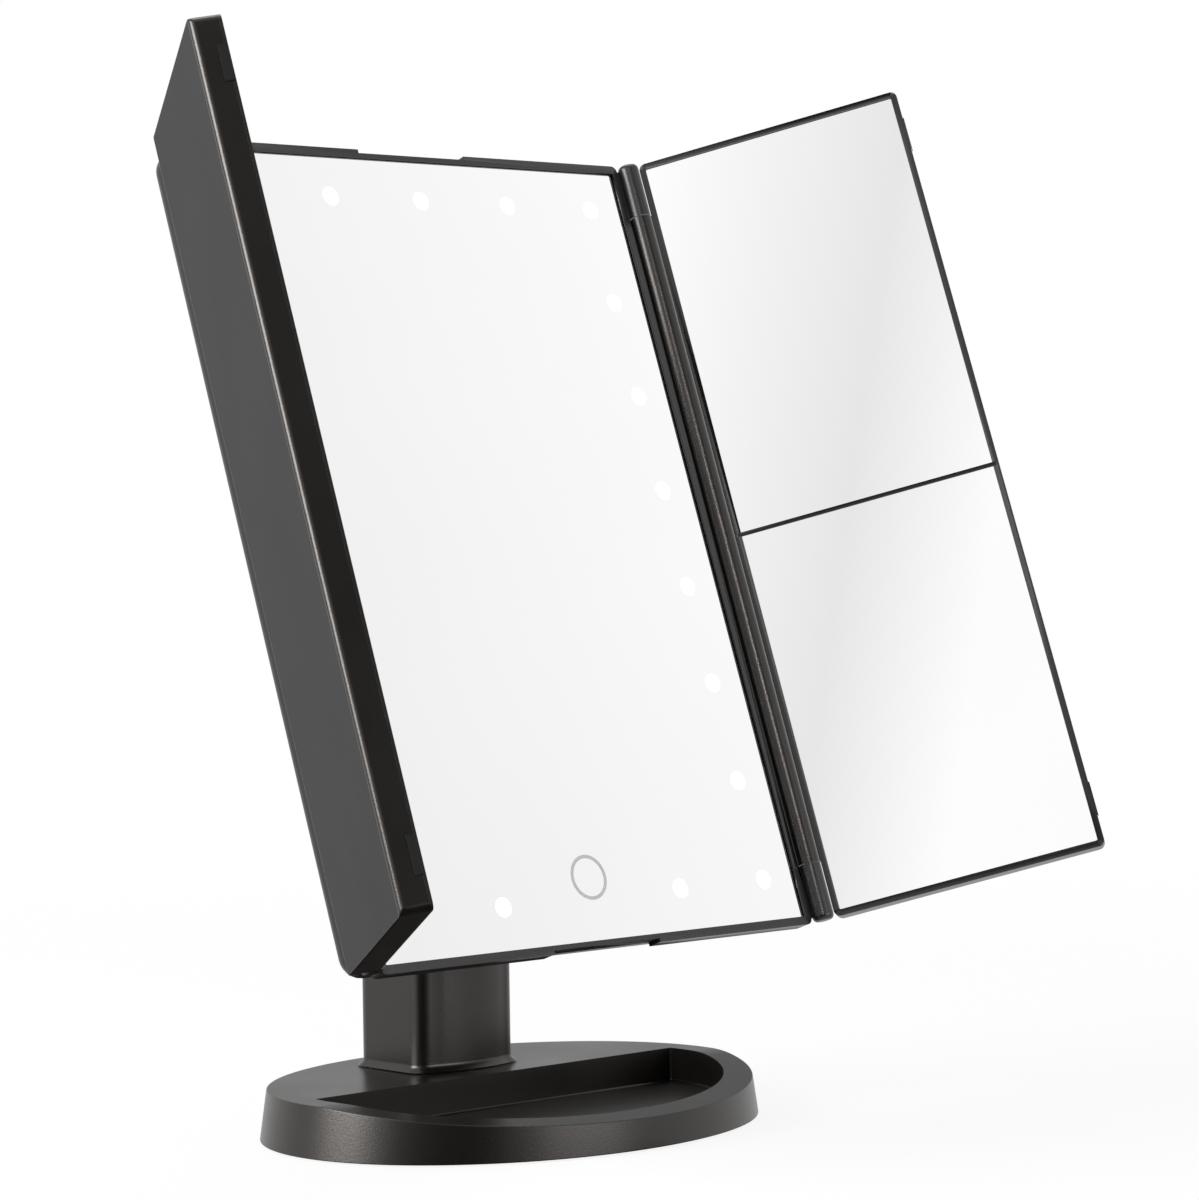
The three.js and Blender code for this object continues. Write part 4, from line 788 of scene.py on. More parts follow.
# %% [markdown]
# ## The head's front frame
#
# The centre mirror sits in a shallow frame. A thin lip holds the glass from the front, both ends have a
# notch for a fingertip, and a fixed hinge knuckle with a domed end stands out at each corner. The frame's
# section is a small L. It could be cut from a block, but faces with large openings tear easily when their
# edges are bevelled, so one rim of the section is extruded to the next until it meets the first again. A
# rib down each side stands behind the wing's barrel, so that no light comes through the slit there.

# %% Front frame
BEZEL_SIDE = 2.1
BEZEL_END = 2.5
FRAME_WALL = 1.2
FRAME_END_WALL = 1.6
LIP_BACK = 0.3
LIP_FRONT = 0.9
NOTCH_HALF = 20.0
NOTCH_DEPTH = 1.1
HEAD_CORNER = 2.0
POCKET_CORNER = 0.7
OPENING_CORNER = 0.4
KNUCKLE_LENGTH = 17.0
DOME_FLAT = 0.6
BARREL_RADIUS = 3.2
LEDGE = 1.0
LEDGE_REACH = 0.8

hinge_on_head = HEAD.inverted() @ Vector(joint("right_wing_hinge")["pos_m"]) / MM
frame_low = span("front_frame", HEAD)[0]
glass_low, glass_high = span("main_mirror", HEAD)
head_half_x = glass_high.x + GAP + FRAME_WALL
head_half_y = glass_high.y + GAP + FRAME_END_WALL
knuckle_top = head_half_y - GAP
knuckle_foot = knuckle_top - KNUCKLE_LENGTH


def make_knuckle(side, end):
    """A fixed knuckle: a rod with a domed outer end, and the web that ties it to the frame."""
    x, z = side * hinge_on_head.x, hinge_on_head.z
    dome = BARREL_RADIUS / 2
    steps = [math.pi / 2 * i / 6 for i in range(7)]
    tip = [(BARREL_RADIUS * (DOME_FLAT + (1 - DOME_FLAT) * math.cos(t)),
            knuckle_top - dome + dome * math.sin(t)) for t in steps]
    tube = turned([(BARREL_RADIUS, knuckle_foot), *tip], 48)
    lay(tube, "y")
    if end < 0:
        tube.data.transform(Matrix.Rotation(math.pi, 4, "Z"))
    lay(tube, "z", (x, 0, z))
    web = (*sided(side, head_half_x - FRAME_WALL / 2, hinge_on_head.x - 1),
           *sided(end, knuckle_foot, knuckle_top - dome))
    return join(tube, plate(*web, z - BARREL_RADIUS, LIP_FRONT))


def make_ledge(side):
    """A rib of the frame behind the wing's barrel, which closes the slit between them."""
    x0, x1 = sided(side, head_half_x - FRAME_WALL / 2, hinge_on_head.x - LEDGE_REACH)
    top = hinge_on_head.z - BARREL_RADIUS - GAP
    return plate(x0, x1, -knuckle_foot - 1, knuckle_foot + 1, top - LEDGE, top)


def make_frame():
    outer = (-head_half_x, head_half_x, -head_half_y, head_half_y)
    pocket_x, pocket_y = head_half_x - FRAME_WALL, head_half_y - FRAME_END_WALL
    pocket = (-pocket_x, pocket_x, -pocket_y, pocket_y)
    open_x, open_y = head_half_x - BEZEL_SIDE, head_half_y - BEZEL_END
    opening = (-open_x, open_x, -open_y, open_y)
    back = frame_low.z
    body = chained([
        (*pocket, back, POCKET_CORNER), (*outer, back, HEAD_CORNER), (*outer, LIP_FRONT, HEAD_CORNER),
        (*opening, LIP_FRONT, OPENING_CORNER), (*opening, LIP_BACK, OPENING_CORNER),
        (*pocket, LIP_BACK, POCKET_CORNER),
    ], closed=True)
    notches = [
        plate(-NOTCH_HALF, NOTCH_HALF, *sided(end, head_half_y - NOTCH_DEPTH, head_half_y + 2),
              back - 1, LIP_FRONT + 1)
        for end in (-1, 1)
    ]
    cut(body, *notches)
    knuckles = [make_knuckle(side, end) for side in (-1, 1) for end in (-1, 1)]
    join(body, make_ledge(-1), make_ledge(1), *knuckles)
    score(body, "y", -knuckle_foot, knuckle_foot)
    score(body, "x", -NOTCH_HALF, NOTCH_HALF)
    return smooth(soften(body, 0.2))


settle(make_frame(), "front_frame_dressed", HEAD, "head", ["front_frame"])

# %% [markdown]
# ## The centre mirror and its lights
#
# The glass is a plain plate with ground edges. Behind it 21 LEDs shine through round windows where the
# silver was left off: rows along the top and bottom, and one up each side. A thin ring in the silver
# marks the touch switch. Windows and ring lie in the glass, so they stand out by only a few hundredths of
# a millimetre.

# %% Centre glass, LED windows and touch ring
WINDOW_RADIUS = 2.8
WINDOW_PROUD = 0.04
RING_RADIUS = 6.5
RING_WIDTH = 1.0
LED_SIDE_INSET = 14.4
LED_END_INSET = 14.8
LED_STEPS = 7
TOUCH_ABOVE_ROW = 5.9

led_row_y = head_half_y - LED_END_INSET


def make_glass(low, high):
    glass = plate(low.x, high.x, low.y, high.y, low.z, high.z)
    return smooth(soften(glass, 0.15, 2))


def window_places():
    side = head_half_x - LED_SIDE_INSET
    places = [(side * i / 2, led_row_y) for i in range(-2, 3)]
    places += [(side * i / 2, -led_row_y) for i in (-2, -1, 1, 2)]
    pitch = 2 * led_row_y / LED_STEPS
    places += [(s * side, -led_row_y + step * pitch) for step in range(1, LED_STEPS) for s in (-1, 1)]
    return places


def copies_at(piece, places):
    """Copies a piece to each place, each copy with its own mesh, and removes the first one."""
    copies = []
    for place in places:
        copy = piece.copy()
        copy.data = piece.data.copy()
        copy.data.transform(Matrix.Translation(place))
        bpy.context.scene.collection.objects.link(copy)
        copies.append(copy)
    bpy.data.objects.remove(piece)
    return copies


def as_one(pieces):
    only(pieces[0])
    for piece in pieces:
        piece.select_set(True)
    bpy.ops.object.join()
    return pieces[0]


def make_windows():
    window = turned([
        (WINDOW_RADIUS, -WINDOW_PROUD), (WINDOW_RADIUS, WINDOW_PROUD / 2),
        (WINDOW_RADIUS * 0.98, WINDOW_PROUD),
    ], 32)
    return as_one(copies_at(window, [(x, y, 0) for x, y in window_places()]))


def make_ring():
    centre = (0, -led_row_y + TOUCH_ABOVE_ROW, 0)
    ring = rod("z", RING_RADIUS, -WINDOW_PROUD, WINDOW_PROUD, centre, 96)
    cut(ring, rod("z", RING_RADIUS - RING_WIDTH, -1, 1, centre, 96))
    return smooth(ring)


settle(make_glass(glass_low, glass_high), "centre_glass", HEAD, "head", ["main_mirror"])
settle(make_windows(), "led_windows", HEAD, "head", [], "lit_window")
settle(make_ring(), "touch_ring", HEAD, "head", [], "touch_film")
print("LED windows:", len(window_places()))

# %% [markdown]
# ## A wing
#
# Each wing is a shallow tray of ABS with a barrel along its hinged edge. Glass lies in the tray, and a thin
# bezel snaps over it: its tabs show as small nubs on the free edge. The rear edge is rounded along the
# sides, which gives the long bright line down the wing, and nearly sharp at both ends. The broad back gets
# its own matt finish. The right wing has two mirrors with a bar between them.

# %% Wing shell, bezel and mirrors
WING_WALL = 1.1
WING_FLOOR = 1.6
WING_CORNER = 2.0
WING_ROUND = 1.7
WING_END_ROUND = 0.25
WING_BEZEL = 1.9
RIM_GAP = 0.05
BAR_HALF = 0.6
TAB_HALF = 5.0
TAB_PROUD = 0.3
TAB_BACK = -2.0
TAB_END_OFFSET = 14.0
TAB_ROOM = 0.08
TAB_INSET = 0.1

barrel_end = knuckle_foot - GAP


def wing_outline(name, place, side):
    """The wing's flat outline (x0, x1, y0, y1), without its tabs."""
    low, high = span(f"{name}_wing_bezel", place)
    near, far = sorted((abs(low.x), abs(high.x)))
    return (*sided(side, near, far - TAB_PROUD), low.y, high.y)


def tab_heights(box):
    return box[2] + TAB_END_OFFSET, box[3] - TAB_END_OFFSET


def make_shell(name, place, side):
    box = wing_outline(name, place, side)
    back = span(f"{name}_wing_shell", place)[0].z
    inner = inset(box, WING_WALL)
    shell = chained([
        (*inner, back + WING_FLOOR, WING_CORNER - WING_WALL), (*inner, 0, WING_CORNER - WING_WALL),
        (*box, 0, WING_CORNER),
        *soft_back(box, WING_CORNER, back, WING_ROUND, 8, WING_END_ROUND / WING_ROUND),
    ], closed=False)
    near = min(abs(box[0]), abs(box[1]))
    w0, w1 = sided(side, 1, near + 0.5)
    web = plate(w0, w1, -barrel_end, barrel_end, -BARREL_RADIUS, 0)
    join(shell, join(rod("y", BARREL_RADIUS, -barrel_end, barrel_end), web))
    score(shell, "y", -barrel_end, barrel_end)
    score(shell, "z", -BARREL_RADIUS)
    return smooth(soften(shell, 0.2))


def make_bezel(name, place, side):
    box = wing_outline(name, place, side)
    inner = inset(box, WING_BEZEL)
    wall = inset(box, WING_WALL)
    wall_corner = WING_CORNER - WING_WALL
    bezel = chained([
        (*wall, RIM_GAP, wall_corner), (*box, RIM_GAP, WING_CORNER), (*box, LIP_FRONT, WING_CORNER),
        (*inner, LIP_FRONT, OPENING_CORNER), (*inner, LIP_BACK, OPENING_CORNER),
        (*wall, LIP_BACK, wall_corner),
    ], closed=True)
    if side > 0:
        bar = (span("right_upper_mirror", place)[0].y + span("right_lower_mirror", place)[1].y) / 2
        b0, b1, *_ = inset(box, WING_BEZEL / 2)
        join(bezel, plate(b0, b1, bar - BAR_HALF, bar + BAR_HALF, LIP_BACK, LIP_FRONT))
        score(bezel, "y", bar - BAR_HALF, bar + BAR_HALF)
    edge = max(abs(box[0]), abs(box[1]))
    t0, t1 = sided(side, edge - WING_BEZEL / 2, edge + TAB_PROUD)
    hook0, hook1 = sided(side, edge + TAB_ROOM, edge + TAB_PROUD)
    for y in tab_heights(box):
        tab = plate(t0, t1, y - TAB_HALF, y + TAB_HALF, LIP_BACK + TAB_INSET, LIP_FRONT - TAB_INSET)
        join(tab, plate(hook0, hook1, y - TAB_HALF, y + TAB_HALF, TAB_BACK, LIP_FRONT - TAB_INSET))
        join(bezel, tab)
    score(bezel, "y", *[y + d for y in tab_heights(box) for d in (-TAB_HALF, TAB_HALF)])
    score(bezel, "x", box[0] + WING_BEZEL, box[1] - WING_BEZEL)
    return smooth(soften(bezel, 0.15))


def coat_back(piece, place):
    """Gives the wing's broad flat back its matt texture; the rounded edges stay satin."""
    outwards = -(place.to_3x3().normalized() @ Vector((0, 0, 1)))
    piece.data.materials.append(finishes["wing_back"])
    broad = max(face.area for face in piece.data.polygons)
    for face in piece.data.polygons:
        if face.normal.dot(outwards) > 0.999 and face.area > broad / 200:
            face.material_index = 1


def make_wing(name, place, side, mirrors):
    body = f"{name}_wing"
    shell = make_shell(name, place, side)
    settle(shell, f"{name}_shell_dressed", place, body, [f"{name}_wing_shell"])
    coat_back(shell, place)
    settle(make_bezel(name, place, side), f"{name}_bezel_dressed", place, body, [f"{name}_wing_bezel"])
    for mirror in mirrors:
        glass = make_glass(*span(mirror, place))
        settle(glass, f"{mirror}_glass", place, body, [mirror])


make_wing("right", RIGHT, 1, ["right_upper_mirror", "right_lower_mirror"])
make_wing("left", LEFT, -1, ["left_mirror"])

# %% [markdown]
# ## The rear cover
#
# A soft-edged cover closes the head from behind, and a pod on it holds the four cells. It is wider than the
# frame: its sides stand behind the wings' barrels. Four screws sit in wells near its corners. The outside
# is one chain of rims: the cover's wall, its rounded edge, the foot of the pod and the pod's own rounded
# edge. The inside, the battery bay, the door's bed with its side grooves and the small openings are cut
# from it.

# %% Rear cover
COVER_WIDER = 5.6
COVER_RIM = 3.3
COVER_END_INSET = 1.3
COVER_CORNER = 6.0
COVER_ROUND = 4.0
COVER_WALL = 2.0
POD_TOP = 50.0
POD_BOTTOM = -66.0
POD_CORNER = 6.0
POD_ROUND = 4.0
POD_PROUD = 15.5
TONGUE = 1.2
TONGUE_THICKNESS = 0.7
BAY_WALL = 1.5
BAY_TOP = 45.0
DOOR_OVERLAP = 2.6
SCREW_HEAD_RADIUS = 2.7
SCREW_HEAD_HEIGHT = 1.6
WELL_RADIUS = 3.0
WELL_WALL = 1.6
WELL_FLOOR = 1.8
WELL_ROOM = 0.3
SWITCH_TRAVEL = 4.0
SWITCH_PROUD = 1.2

cover_low = span("rear_housing", HEAD)[0]
door_low, door_high = span("battery_door", HEAD)
knob_low, knob_high = span("switch_knob", HEAD)
usb_low, usb_high = span("usb_socket", HEAD)
cover_back = cover_low.z + POD_PROUD
pod_half = knob_high.x - SWITCH_PROUD
door_half = door_high.x - TONGUE
door_seat = door_high.z + GAP
bay_half = door_half - DOOR_OVERLAP
bay_bottom = door_low.y + DOOR_OVERLAP
bay_front = span("battery_cell_1", HEAD)[1].z + GAP


def screw_places(node, count, place, head_height):
    """Where each screw of a group stands, and its length: (x, y, z of its head's outside, shaft)."""
    places = []
    for number in range(1, count + 1):
        low, high = span(f"{node}_{number}", place)
        places.append(((low.x + high.x) / 2, (low.y + high.y) / 2, low.z, high.z - low.z - head_height))
    return places


def make_cover():
    half_x, half_y = head_half_x + COVER_WIDER, head_half_y - COVER_END_INSET
    wall = (-half_x, half_x, -half_y, half_y)
    rim_z = frame_low.z - GAP
    pod_box = (-pod_half, pod_half, POD_BOTTOM, POD_TOP)
    cover = chained([
        (*wall, rim_z, COVER_CORNER), *soft_back(wall, COVER_CORNER, cover_back, COVER_ROUND),
        (*pod_box, cover_back, POD_CORNER), *soft_back(pod_box, POD_CORNER, cover_low.z, POD_ROUND),
    ], closed=False)
    floor_in = cover_back + COVER_WALL
    frame_box = (-head_half_x, head_half_x, -head_half_y, head_half_y)
    wide, deep = inset(frame_box, COVER_RIM), inset(frame_box, COVER_RIM + COVER_ROUND)
    cut(cover,
        plate(*wide, floor_in + COVER_WALL, 0),
        plate(*deep, floor_in, 0),
        plate(-pod_half + COVER_WALL, pod_half - COVER_WALL, POD_BOTTOM + COVER_WALL, bay_bottom - BAY_WALL,
              cover_low.z + COVER_WALL, floor_in + 1))
    wells = screw_places("housing_screw", 4, HEAD, SCREW_HEAD_HEIGHT)
    join(cover,
         plate(-bay_half - BAY_WALL, bay_half + BAY_WALL, bay_bottom - BAY_WALL, BAY_TOP + BAY_WALL,
               door_high.z, bay_front + BAY_WALL),
         *[rod("z", WELL_RADIUS + WELL_WALL, cover_back + 0.5, z + SCREW_HEAD_HEIGHT + WELL_FLOOR,
               (x, y, 0), 32)
           for x, y, z, _ in wells])
    bed = (-door_half - GAP, door_half + GAP, door_low.y - GAP, POD_TOP + 1)
    groove = (bed[0] - TONGUE, bed[1] + TONGUE, bed[2], bed[3])
    back = cover_low.z - 1
    cut(cover,
        plate(-bay_half, bay_half, bay_bottom, BAY_TOP, back, bay_front, 0.8, 3),
        plate(*bed, back, door_seat),
        plate(*groove, door_high.z - TONGUE_THICKNESS - GAP, door_seat),
        plate(pod_half - COVER_WALL - 1, pod_half + 1, knob_low.y - SWITCH_TRAVEL - 2 * GAP,
              knob_high.y + 2 * GAP, knob_low.z - GAP, knob_high.z + GAP),
        plate(-pod_half - 1, -pod_half + COVER_WALL + 1, usb_low.y - GAP, usb_high.y + GAP,
              usb_low.z - GAP, usb_high.z + GAP),
        *[rod("z", WELL_RADIUS, cover_back - 1, z + SCREW_HEAD_HEIGHT + WELL_ROOM, (x, y, 0), 32)
          for x, y, z, _ in wells])
    score(cover, "x", -pod_half - 2, -bay_half, bay_half, pod_half + 2)
    score(cover, "y", POD_BOTTOM - 2, bay_bottom, BAY_TOP, POD_TOP + 2)
    return smooth(soften(cover, 0.25, 2))


settle(make_cover(), "rear_cover", HEAD, "head", ["rear_housing"])

# %% [markdown]
# ## Battery door
#
# The door slides up and off. It shares the pod's rounded top edge, so its plate is intersected with the
# pod's own form. Five grooves near the top give a thumb its grip. Two thin tongues run in the cover's
# grooves; they are joined last and stand clear of the door's own faces, so that no face is torn.

# %% Battery door
GRIP_RIBS = 5
GRIP_PITCH = 2.4
GRIP_HALF = 9.0
GRIP_HEIGHT = 1.2
GRIP_DEPTH = 0.5
GRIP_ROUND = 0.54
GRIP_DOWN = 8.0
TONGUE_INSET = 0.6
TONGUE_LOW = 0.25


def make_door():
    low, high = door_low, door_high
    door = plate(-door_half, door_half, low.y, high.y + 1, low.z - 1, high.z)
    wide_pod = (-door_half - 5, door_half + 5, POD_BOTTOM, POD_TOP)
    combine(door, "INTERSECT", chained([
        (*wide_pod, high.z + 5, POD_CORNER), *soft_back(wide_pod, POD_CORNER, low.z, POD_ROUND),
    ], closed=False))
    for rib in range(GRIP_RIBS):
        y = POD_TOP - GRIP_DOWN - GRIP_PITCH * rib
        cut(door, plate(-GRIP_HALF, GRIP_HALF, y - GRIP_HEIGHT / 2, y + GRIP_HEIGHT / 2,
                        low.z - 1, low.z + GRIP_DEPTH, GRIP_ROUND, 4))
        score(door, "y", y + GRIP_PITCH / 2)
    score(door, "y", y - GRIP_PITCH / 2)
    score(door, "x", -GRIP_HALF - 1, GRIP_HALF + 1)
    soften(door, 0.2, 2)
    for side in (-1, 1):
        x0, x1 = sided(side, door_half - 0.5, door_half + TONGUE)
        join(door, plate(x0, x1, low.y + TONGUE_INSET, high.y - POD_ROUND,
                         high.z - TONGUE_THICKNESS, high.z - TONGUE_LOW))
    return smooth(door)


settle(make_door(), "sliding_door", HEAD, "battery_cover", ["battery_door"])

# %% [markdown]
# ## Tilt bracket and its caps
#
# A yoke is screwed to the pod: a plate with two ears that embrace the column's knuckle. Each ear tapers
# from the plate to its round end, and a shallow cap covers the bolt on each side. An ear starts as a
# block whose far face is narrowed, and a rod gives it the round end.

# %% Tilt bracket and hinge caps
EAR_FOOT_INSET = 3.0
EAR_THICKNESS = 4.8
BRACKET_PLATE = 3.0
BRACKET_CORNER = 4.0
BOLT_ROOM = 2.8
SHAFT_ROOM = 1.5

bracket_low, bracket_high = span("tilt_bracket", HEAD)
pivot_on_head = HEAD.inverted() @ Vector(joint("head_tilt")["pos_m"]) / MM
washer_low, washer_high = span("friction_washer_right", HEAD)
ear_in = knuckle_half + washer_high.x - washer_low.x + 2 * GAP
ear_out = ear_in + EAR_THICKNESS


def make_ear(side):
    x0, x1 = sided(side, ear_in, ear_out)
    half = (bracket_high.y - bracket_low.y) / 2 - EAR_FOOT_INSET
    middle = pivot_on_head.y
    ear = plate(x0, x1, middle - half, middle + half, pivot_on_head.z, bracket_high.z - BRACKET_PLATE + 0.5)
    pick_faces(ear, lambda face: face.normal.z < -0.9)
    bpy.ops.transform.resize(value=(1, KNUCKLE_RADIUS / half, 1))
    return join(ear, rod("x", KNUCKLE_RADIUS, x0, x1, pivot_on_head, 72))


def make_bracket():
    low, high = bracket_low, bracket_high
    bracket = plate(low.x, high.x, low.y, high.y, high.z - BRACKET_PLATE, high.z, BRACKET_CORNER)
    join(bracket, make_ear(-1), make_ear(1))
    screws = screw_places("bracket_screw", 2, HEAD, SCREW_HEAD_HEIGHT)
    cut(bracket, rod("x", BOLT_ROOM, low.x, high.x, pivot_on_head, 32),
        *[rod("z", SHAFT_ROOM, low.z, high.z + 1, (x, y, 0), 24) for x, y, _, _ in screws])
    return smooth(soften(bracket, 0.5))


def make_cap(side):
    """A shallow cup with a soft outer edge and a slightly sunk face."""
    low, high = span("hinge_cap_right", HEAD)
    radius = (high.y - low.y) / 2
    depth = high.x - low.x
    cap = turned([
        (radius - 1.4, depth - 1.4), (radius - 1.4, 0), (radius, 0), (radius, depth - 1.0),
        (radius - 0.3, depth - 0.3), (radius - 1.0, depth), (radius - 2.4, depth),
        (radius - 2.8, depth - 0.4),
    ], 72)
    lay(cap, "x")
    if side < 0:
        cap.data.transform(Matrix.Rotation(math.pi, 4, "Z"))
    lay(cap, "z", (side * low.x, pivot_on_head.y, pivot_on_head.z))
    return smooth(cap)


settle(make_bracket(), "tilt_yoke", HEAD, "head", ["tilt_bracket"])
settle(make_cap(1), "cap_right", HEAD, "head", ["hinge_cap_right"])
settle(make_cap(-1), "cap_left", HEAD, "head", ["hinge_cap_left"])

# %% [markdown]
# ## Screws
#
# All outside screws are small pan heads with a cross recess. One is modelled for each group, standing at
# the origin with its head towards -z, and the others are copies. The head is turned ring by ring, which
# gives it its dome, and two tapered blades cut the cross.

# %% Screws
SHAFT_RADIUS = 1.2
RECESS_HALF = 1.35
RECESS_WIDTH = 0.28
RECESS_SHARE = 0.6


def make_screw(head_height, shaft):
    """Its head's outside lies at z = 0, and the shaft points to +z."""
    r, h = SCREW_HEAD_RADIUS, head_height
    screw = turned([
        (r * 0.55, 0), (r * 0.8, h * 0.1), (r * 0.94, h * 0.3), (r, h * 0.6), (r, h), (SHAFT_RADIUS, h),
        (SHAFT_RADIUS, h + shaft - SHAFT_RADIUS), (0.3, h + shaft),
    ], 32)
    for a, b in ((RECESS_HALF, RECESS_WIDTH), (RECESS_WIDTH, RECESS_HALF)):
        blade = plate(-a, a, -b, b, -1, h * RECESS_SHARE)
        pick_faces(blade, lambda face: face.normal.z > 0.9)
        bpy.ops.transform.resize(value=(0.5 if a > b else 1, 1 if a > b else 0.5, 1))
        cut(screw, blade)
    return smooth(screw)


def settle_screws(node, count, place, head_height, body, name):
    places = screw_places(node, count, place, head_height)
    screws = copies_at(make_screw(head_height, places[0][3]), [p[:3] for p in places])
    for number, screw in enumerate(screws, 1):
        settle(screw, f"{name}_{number}", place, body, [f"{node}_{number}"])


settle_screws("housing_screw", 4, HEAD, SCREW_HEAD_HEIGHT, "head", "cover_screw_dressed")
settle_screws("bracket_screw", 2, HEAD, SCREW_HEAD_HEIGHT, "head", "yoke_screw_dressed")

# %% [markdown]
# ## Underside of the base
#
# Turned over, the base shows a flat cover with a soft edge. Four low screws hold it, outside the rubber
# foot, which keeps their heads clear of the table.

# %% Base cover and its screws
FLAT_HEAD_HEIGHT = 0.7


def make_base_cover():
    low, high = span("base_cover", ROW)
    cover = oval(high.x, high.y, low.z, high.z, 192)
    screws = screw_places("base_screw", 4, ROW, FLAT_HEAD_HEIGHT)
    cut(cover, *[rod("z", SHAFT_ROOM, -1, high.z + 1, (x, y, 0), 32) for x, y, _, _ in screws])
    return smooth(soften(cover, 0.25, 2, 50))


settle(make_base_cover(), "underside_cover", ROW, "stand", ["base_cover"])
settle_screws("base_screw", 4, ROW, FLAT_HEAD_HEIGHT, "stand", "base_screw_dressed")

# %% [markdown]
# ## Power switch and USB socket
#
# The switch is a ribbed slider that stands out of the pod's side. Opposite it lies the power socket: a drawn
# steel shell with round ends, and a thin tongue inside. Both are made along z as chains of rims and then
# laid along x.

# %% Switch knob and power socket
KNOB_CORNER = 0.6
KNOB_RIBS = (-1.5, 0, 1.5)
KNOB_RIB_WIDTH = 0.7
KNOB_RIB_DEPTH = 0.4
USB_SHELL = 0.4
USB_DEPTH = 6.0
USB_TONGUE_INSET = 1.6
USB_TONGUE_HALF = 0.3


def make_knob():
    low, high = knob_low, knob_high
    box = (low.y, high.y, low.z, high.z)
    top = high.x
    knob = chained([
        (*box, low.x, KNOB_CORNER), (*box, top - 0.4, KNOB_CORNER),
        (*inset(box, 0.1), top - 0.1, KNOB_CORNER),
        (*inset(box, 0.35), top, KNOB_CORNER)], closed=False)
    lay(knob, "x")
    middle = (low.y + high.y) / 2
    for step in KNOB_RIBS:
        y = middle + step
        cut(knob, plate(top - KNOB_RIB_DEPTH, top + 1, y - KNOB_RIB_WIDTH / 2, y + KNOB_RIB_WIDTH / 2,
                        low.z - 1, high.z + 1))
    return smooth(soften(knob, 0.08, 2))


def make_usb_shell():
    low, high = usb_low, usb_high
    box = (low.y, high.y, low.z, high.z)
    round_end = (high.z - low.z) / 2 - 0.05
    inner = inset(box, USB_SHELL)
    shell = chained([
        (*inner, low.x + USB_DEPTH, round_end - USB_SHELL), (*inner, low.x, round_end - USB_SHELL),
        (*box, low.x, round_end), (*box, high.x, round_end)], closed=False, steps=10)
    return smooth(soften(lay(shell, "x"), 0.1, 2, 50))


def make_usb_tongue():
    low, high = usb_low, usb_high
    middle = (low.z + high.z) / 2
    tongue = plate(low.x + 1, low.x + USB_DEPTH + 0.2, low.y + USB_TONGUE_INSET, high.y - USB_TONGUE_INSET,
                   middle - USB_TONGUE_HALF, middle + USB_TONGUE_HALF)
    return smooth(soften(tongue, 0.1, 2))


settle(make_knob(), "slider_knob", HEAD, "power_slider", ["switch_knob"])
settle(make_usb_shell(), "usb_shell", HEAD, "head", ["usb_socket"])
settle(make_usb_tongue(), "usb_tongue", HEAD, "head", [], "pad_rubber")

# %% [markdown]
# ## Cells and contacts
#
# With the door off, four AA cells and their contacts come into view. A cell is a steel can in a printed
# shrink sleeve, here plain, that leaves the rolled ends bare. Each contact strip carries coil springs for
# the flat ends of the cells. A spring is a small circle swept by the Screw modifier and then tapered.

# %% Battery cells and contact springs
SLEEVE_MARGIN = 0.9
NUB = 1.0
NUB_RADIUS = 2.7
SPRING_FOOT = 3.55
SPRING_TIP = 2.13
SPRING_TURNS = 5
WIRE = 0.35
STRIP = 0.6
SPRING_GAP = 0.1


def cell_facts(number):
    """Middle, lowest and highest point of a cell, and whether its nub points up."""
    low, high = span(f"battery_cell_{number}", HEAD)
    return (low.x + high.x) / 2, (low.z + high.z) / 2, low.y, high.y, number % 2 == 1


def make_cell(length, radius, up):
    body = length - NUB
    cell = turned([
        (radius - 2.0, 0.25), (radius - 1.4, 0), (radius - 0.7, 0), (radius - 0.2, 0.25),
        (radius - 0.05, 0.6),
        (radius, SLEEVE_MARGIN), (radius, body - SLEEVE_MARGIN), (radius - 0.05, body - 0.6),
        (radius - 0.2, body - 0.25), (radius - 0.7, body), (radius - 1.2, body), (radius - 1.5, body - 0.3),
        (NUB_RADIUS + 0.4, body - 0.3), (NUB_RADIUS, body), (NUB_RADIUS, body + NUB - 0.3),
        (NUB_RADIUS - 0.3, body + NUB),
    ])
    lay(cell, "y")
    if not up:
        cell.data.transform(Matrix.Translation((0, length, 0)) @ Matrix.Rotation(math.pi, 4, "Z"))
    return smooth(cell, 30)


def make_spring(length):
    """A tapered coil with its wide foot at z = 0."""
    only(None)
    bpy.ops.mesh.primitive_circle_add(
        vertices=8, radius=WIRE, location=(SPRING_FOOT - WIRE, 0, WIRE), rotation=(math.pi / 2, 0, 0))
    bpy.ops.object.transform_apply(location=True, rotation=True, scale=True)
    spring = bpy.context.active_object
    sweep = spring.modifiers.new("coil", "SCREW")
    sweep.axis = "Z"
    sweep.iterations = SPRING_TURNS
    sweep.screw_offset = (length - 2 * WIRE) / SPRING_TURNS
    sweep.steps = sweep.render_steps = 24
    apply_modifiers(spring)
    for point in spring.data.vertices:
        reach = math.hypot(point.co.x, point.co.y)
        taper = (SPRING_FOOT - SPRING_TIP) * point.co.z / length
        point.co.x *= (reach - taper) / reach
        point.co.y *= (reach - taper) / reach
    edit_all(spring)
    bpy.ops.mesh.fill_holes(sides=0)
    face_outwards(spring)
    return smooth(spring, 60)


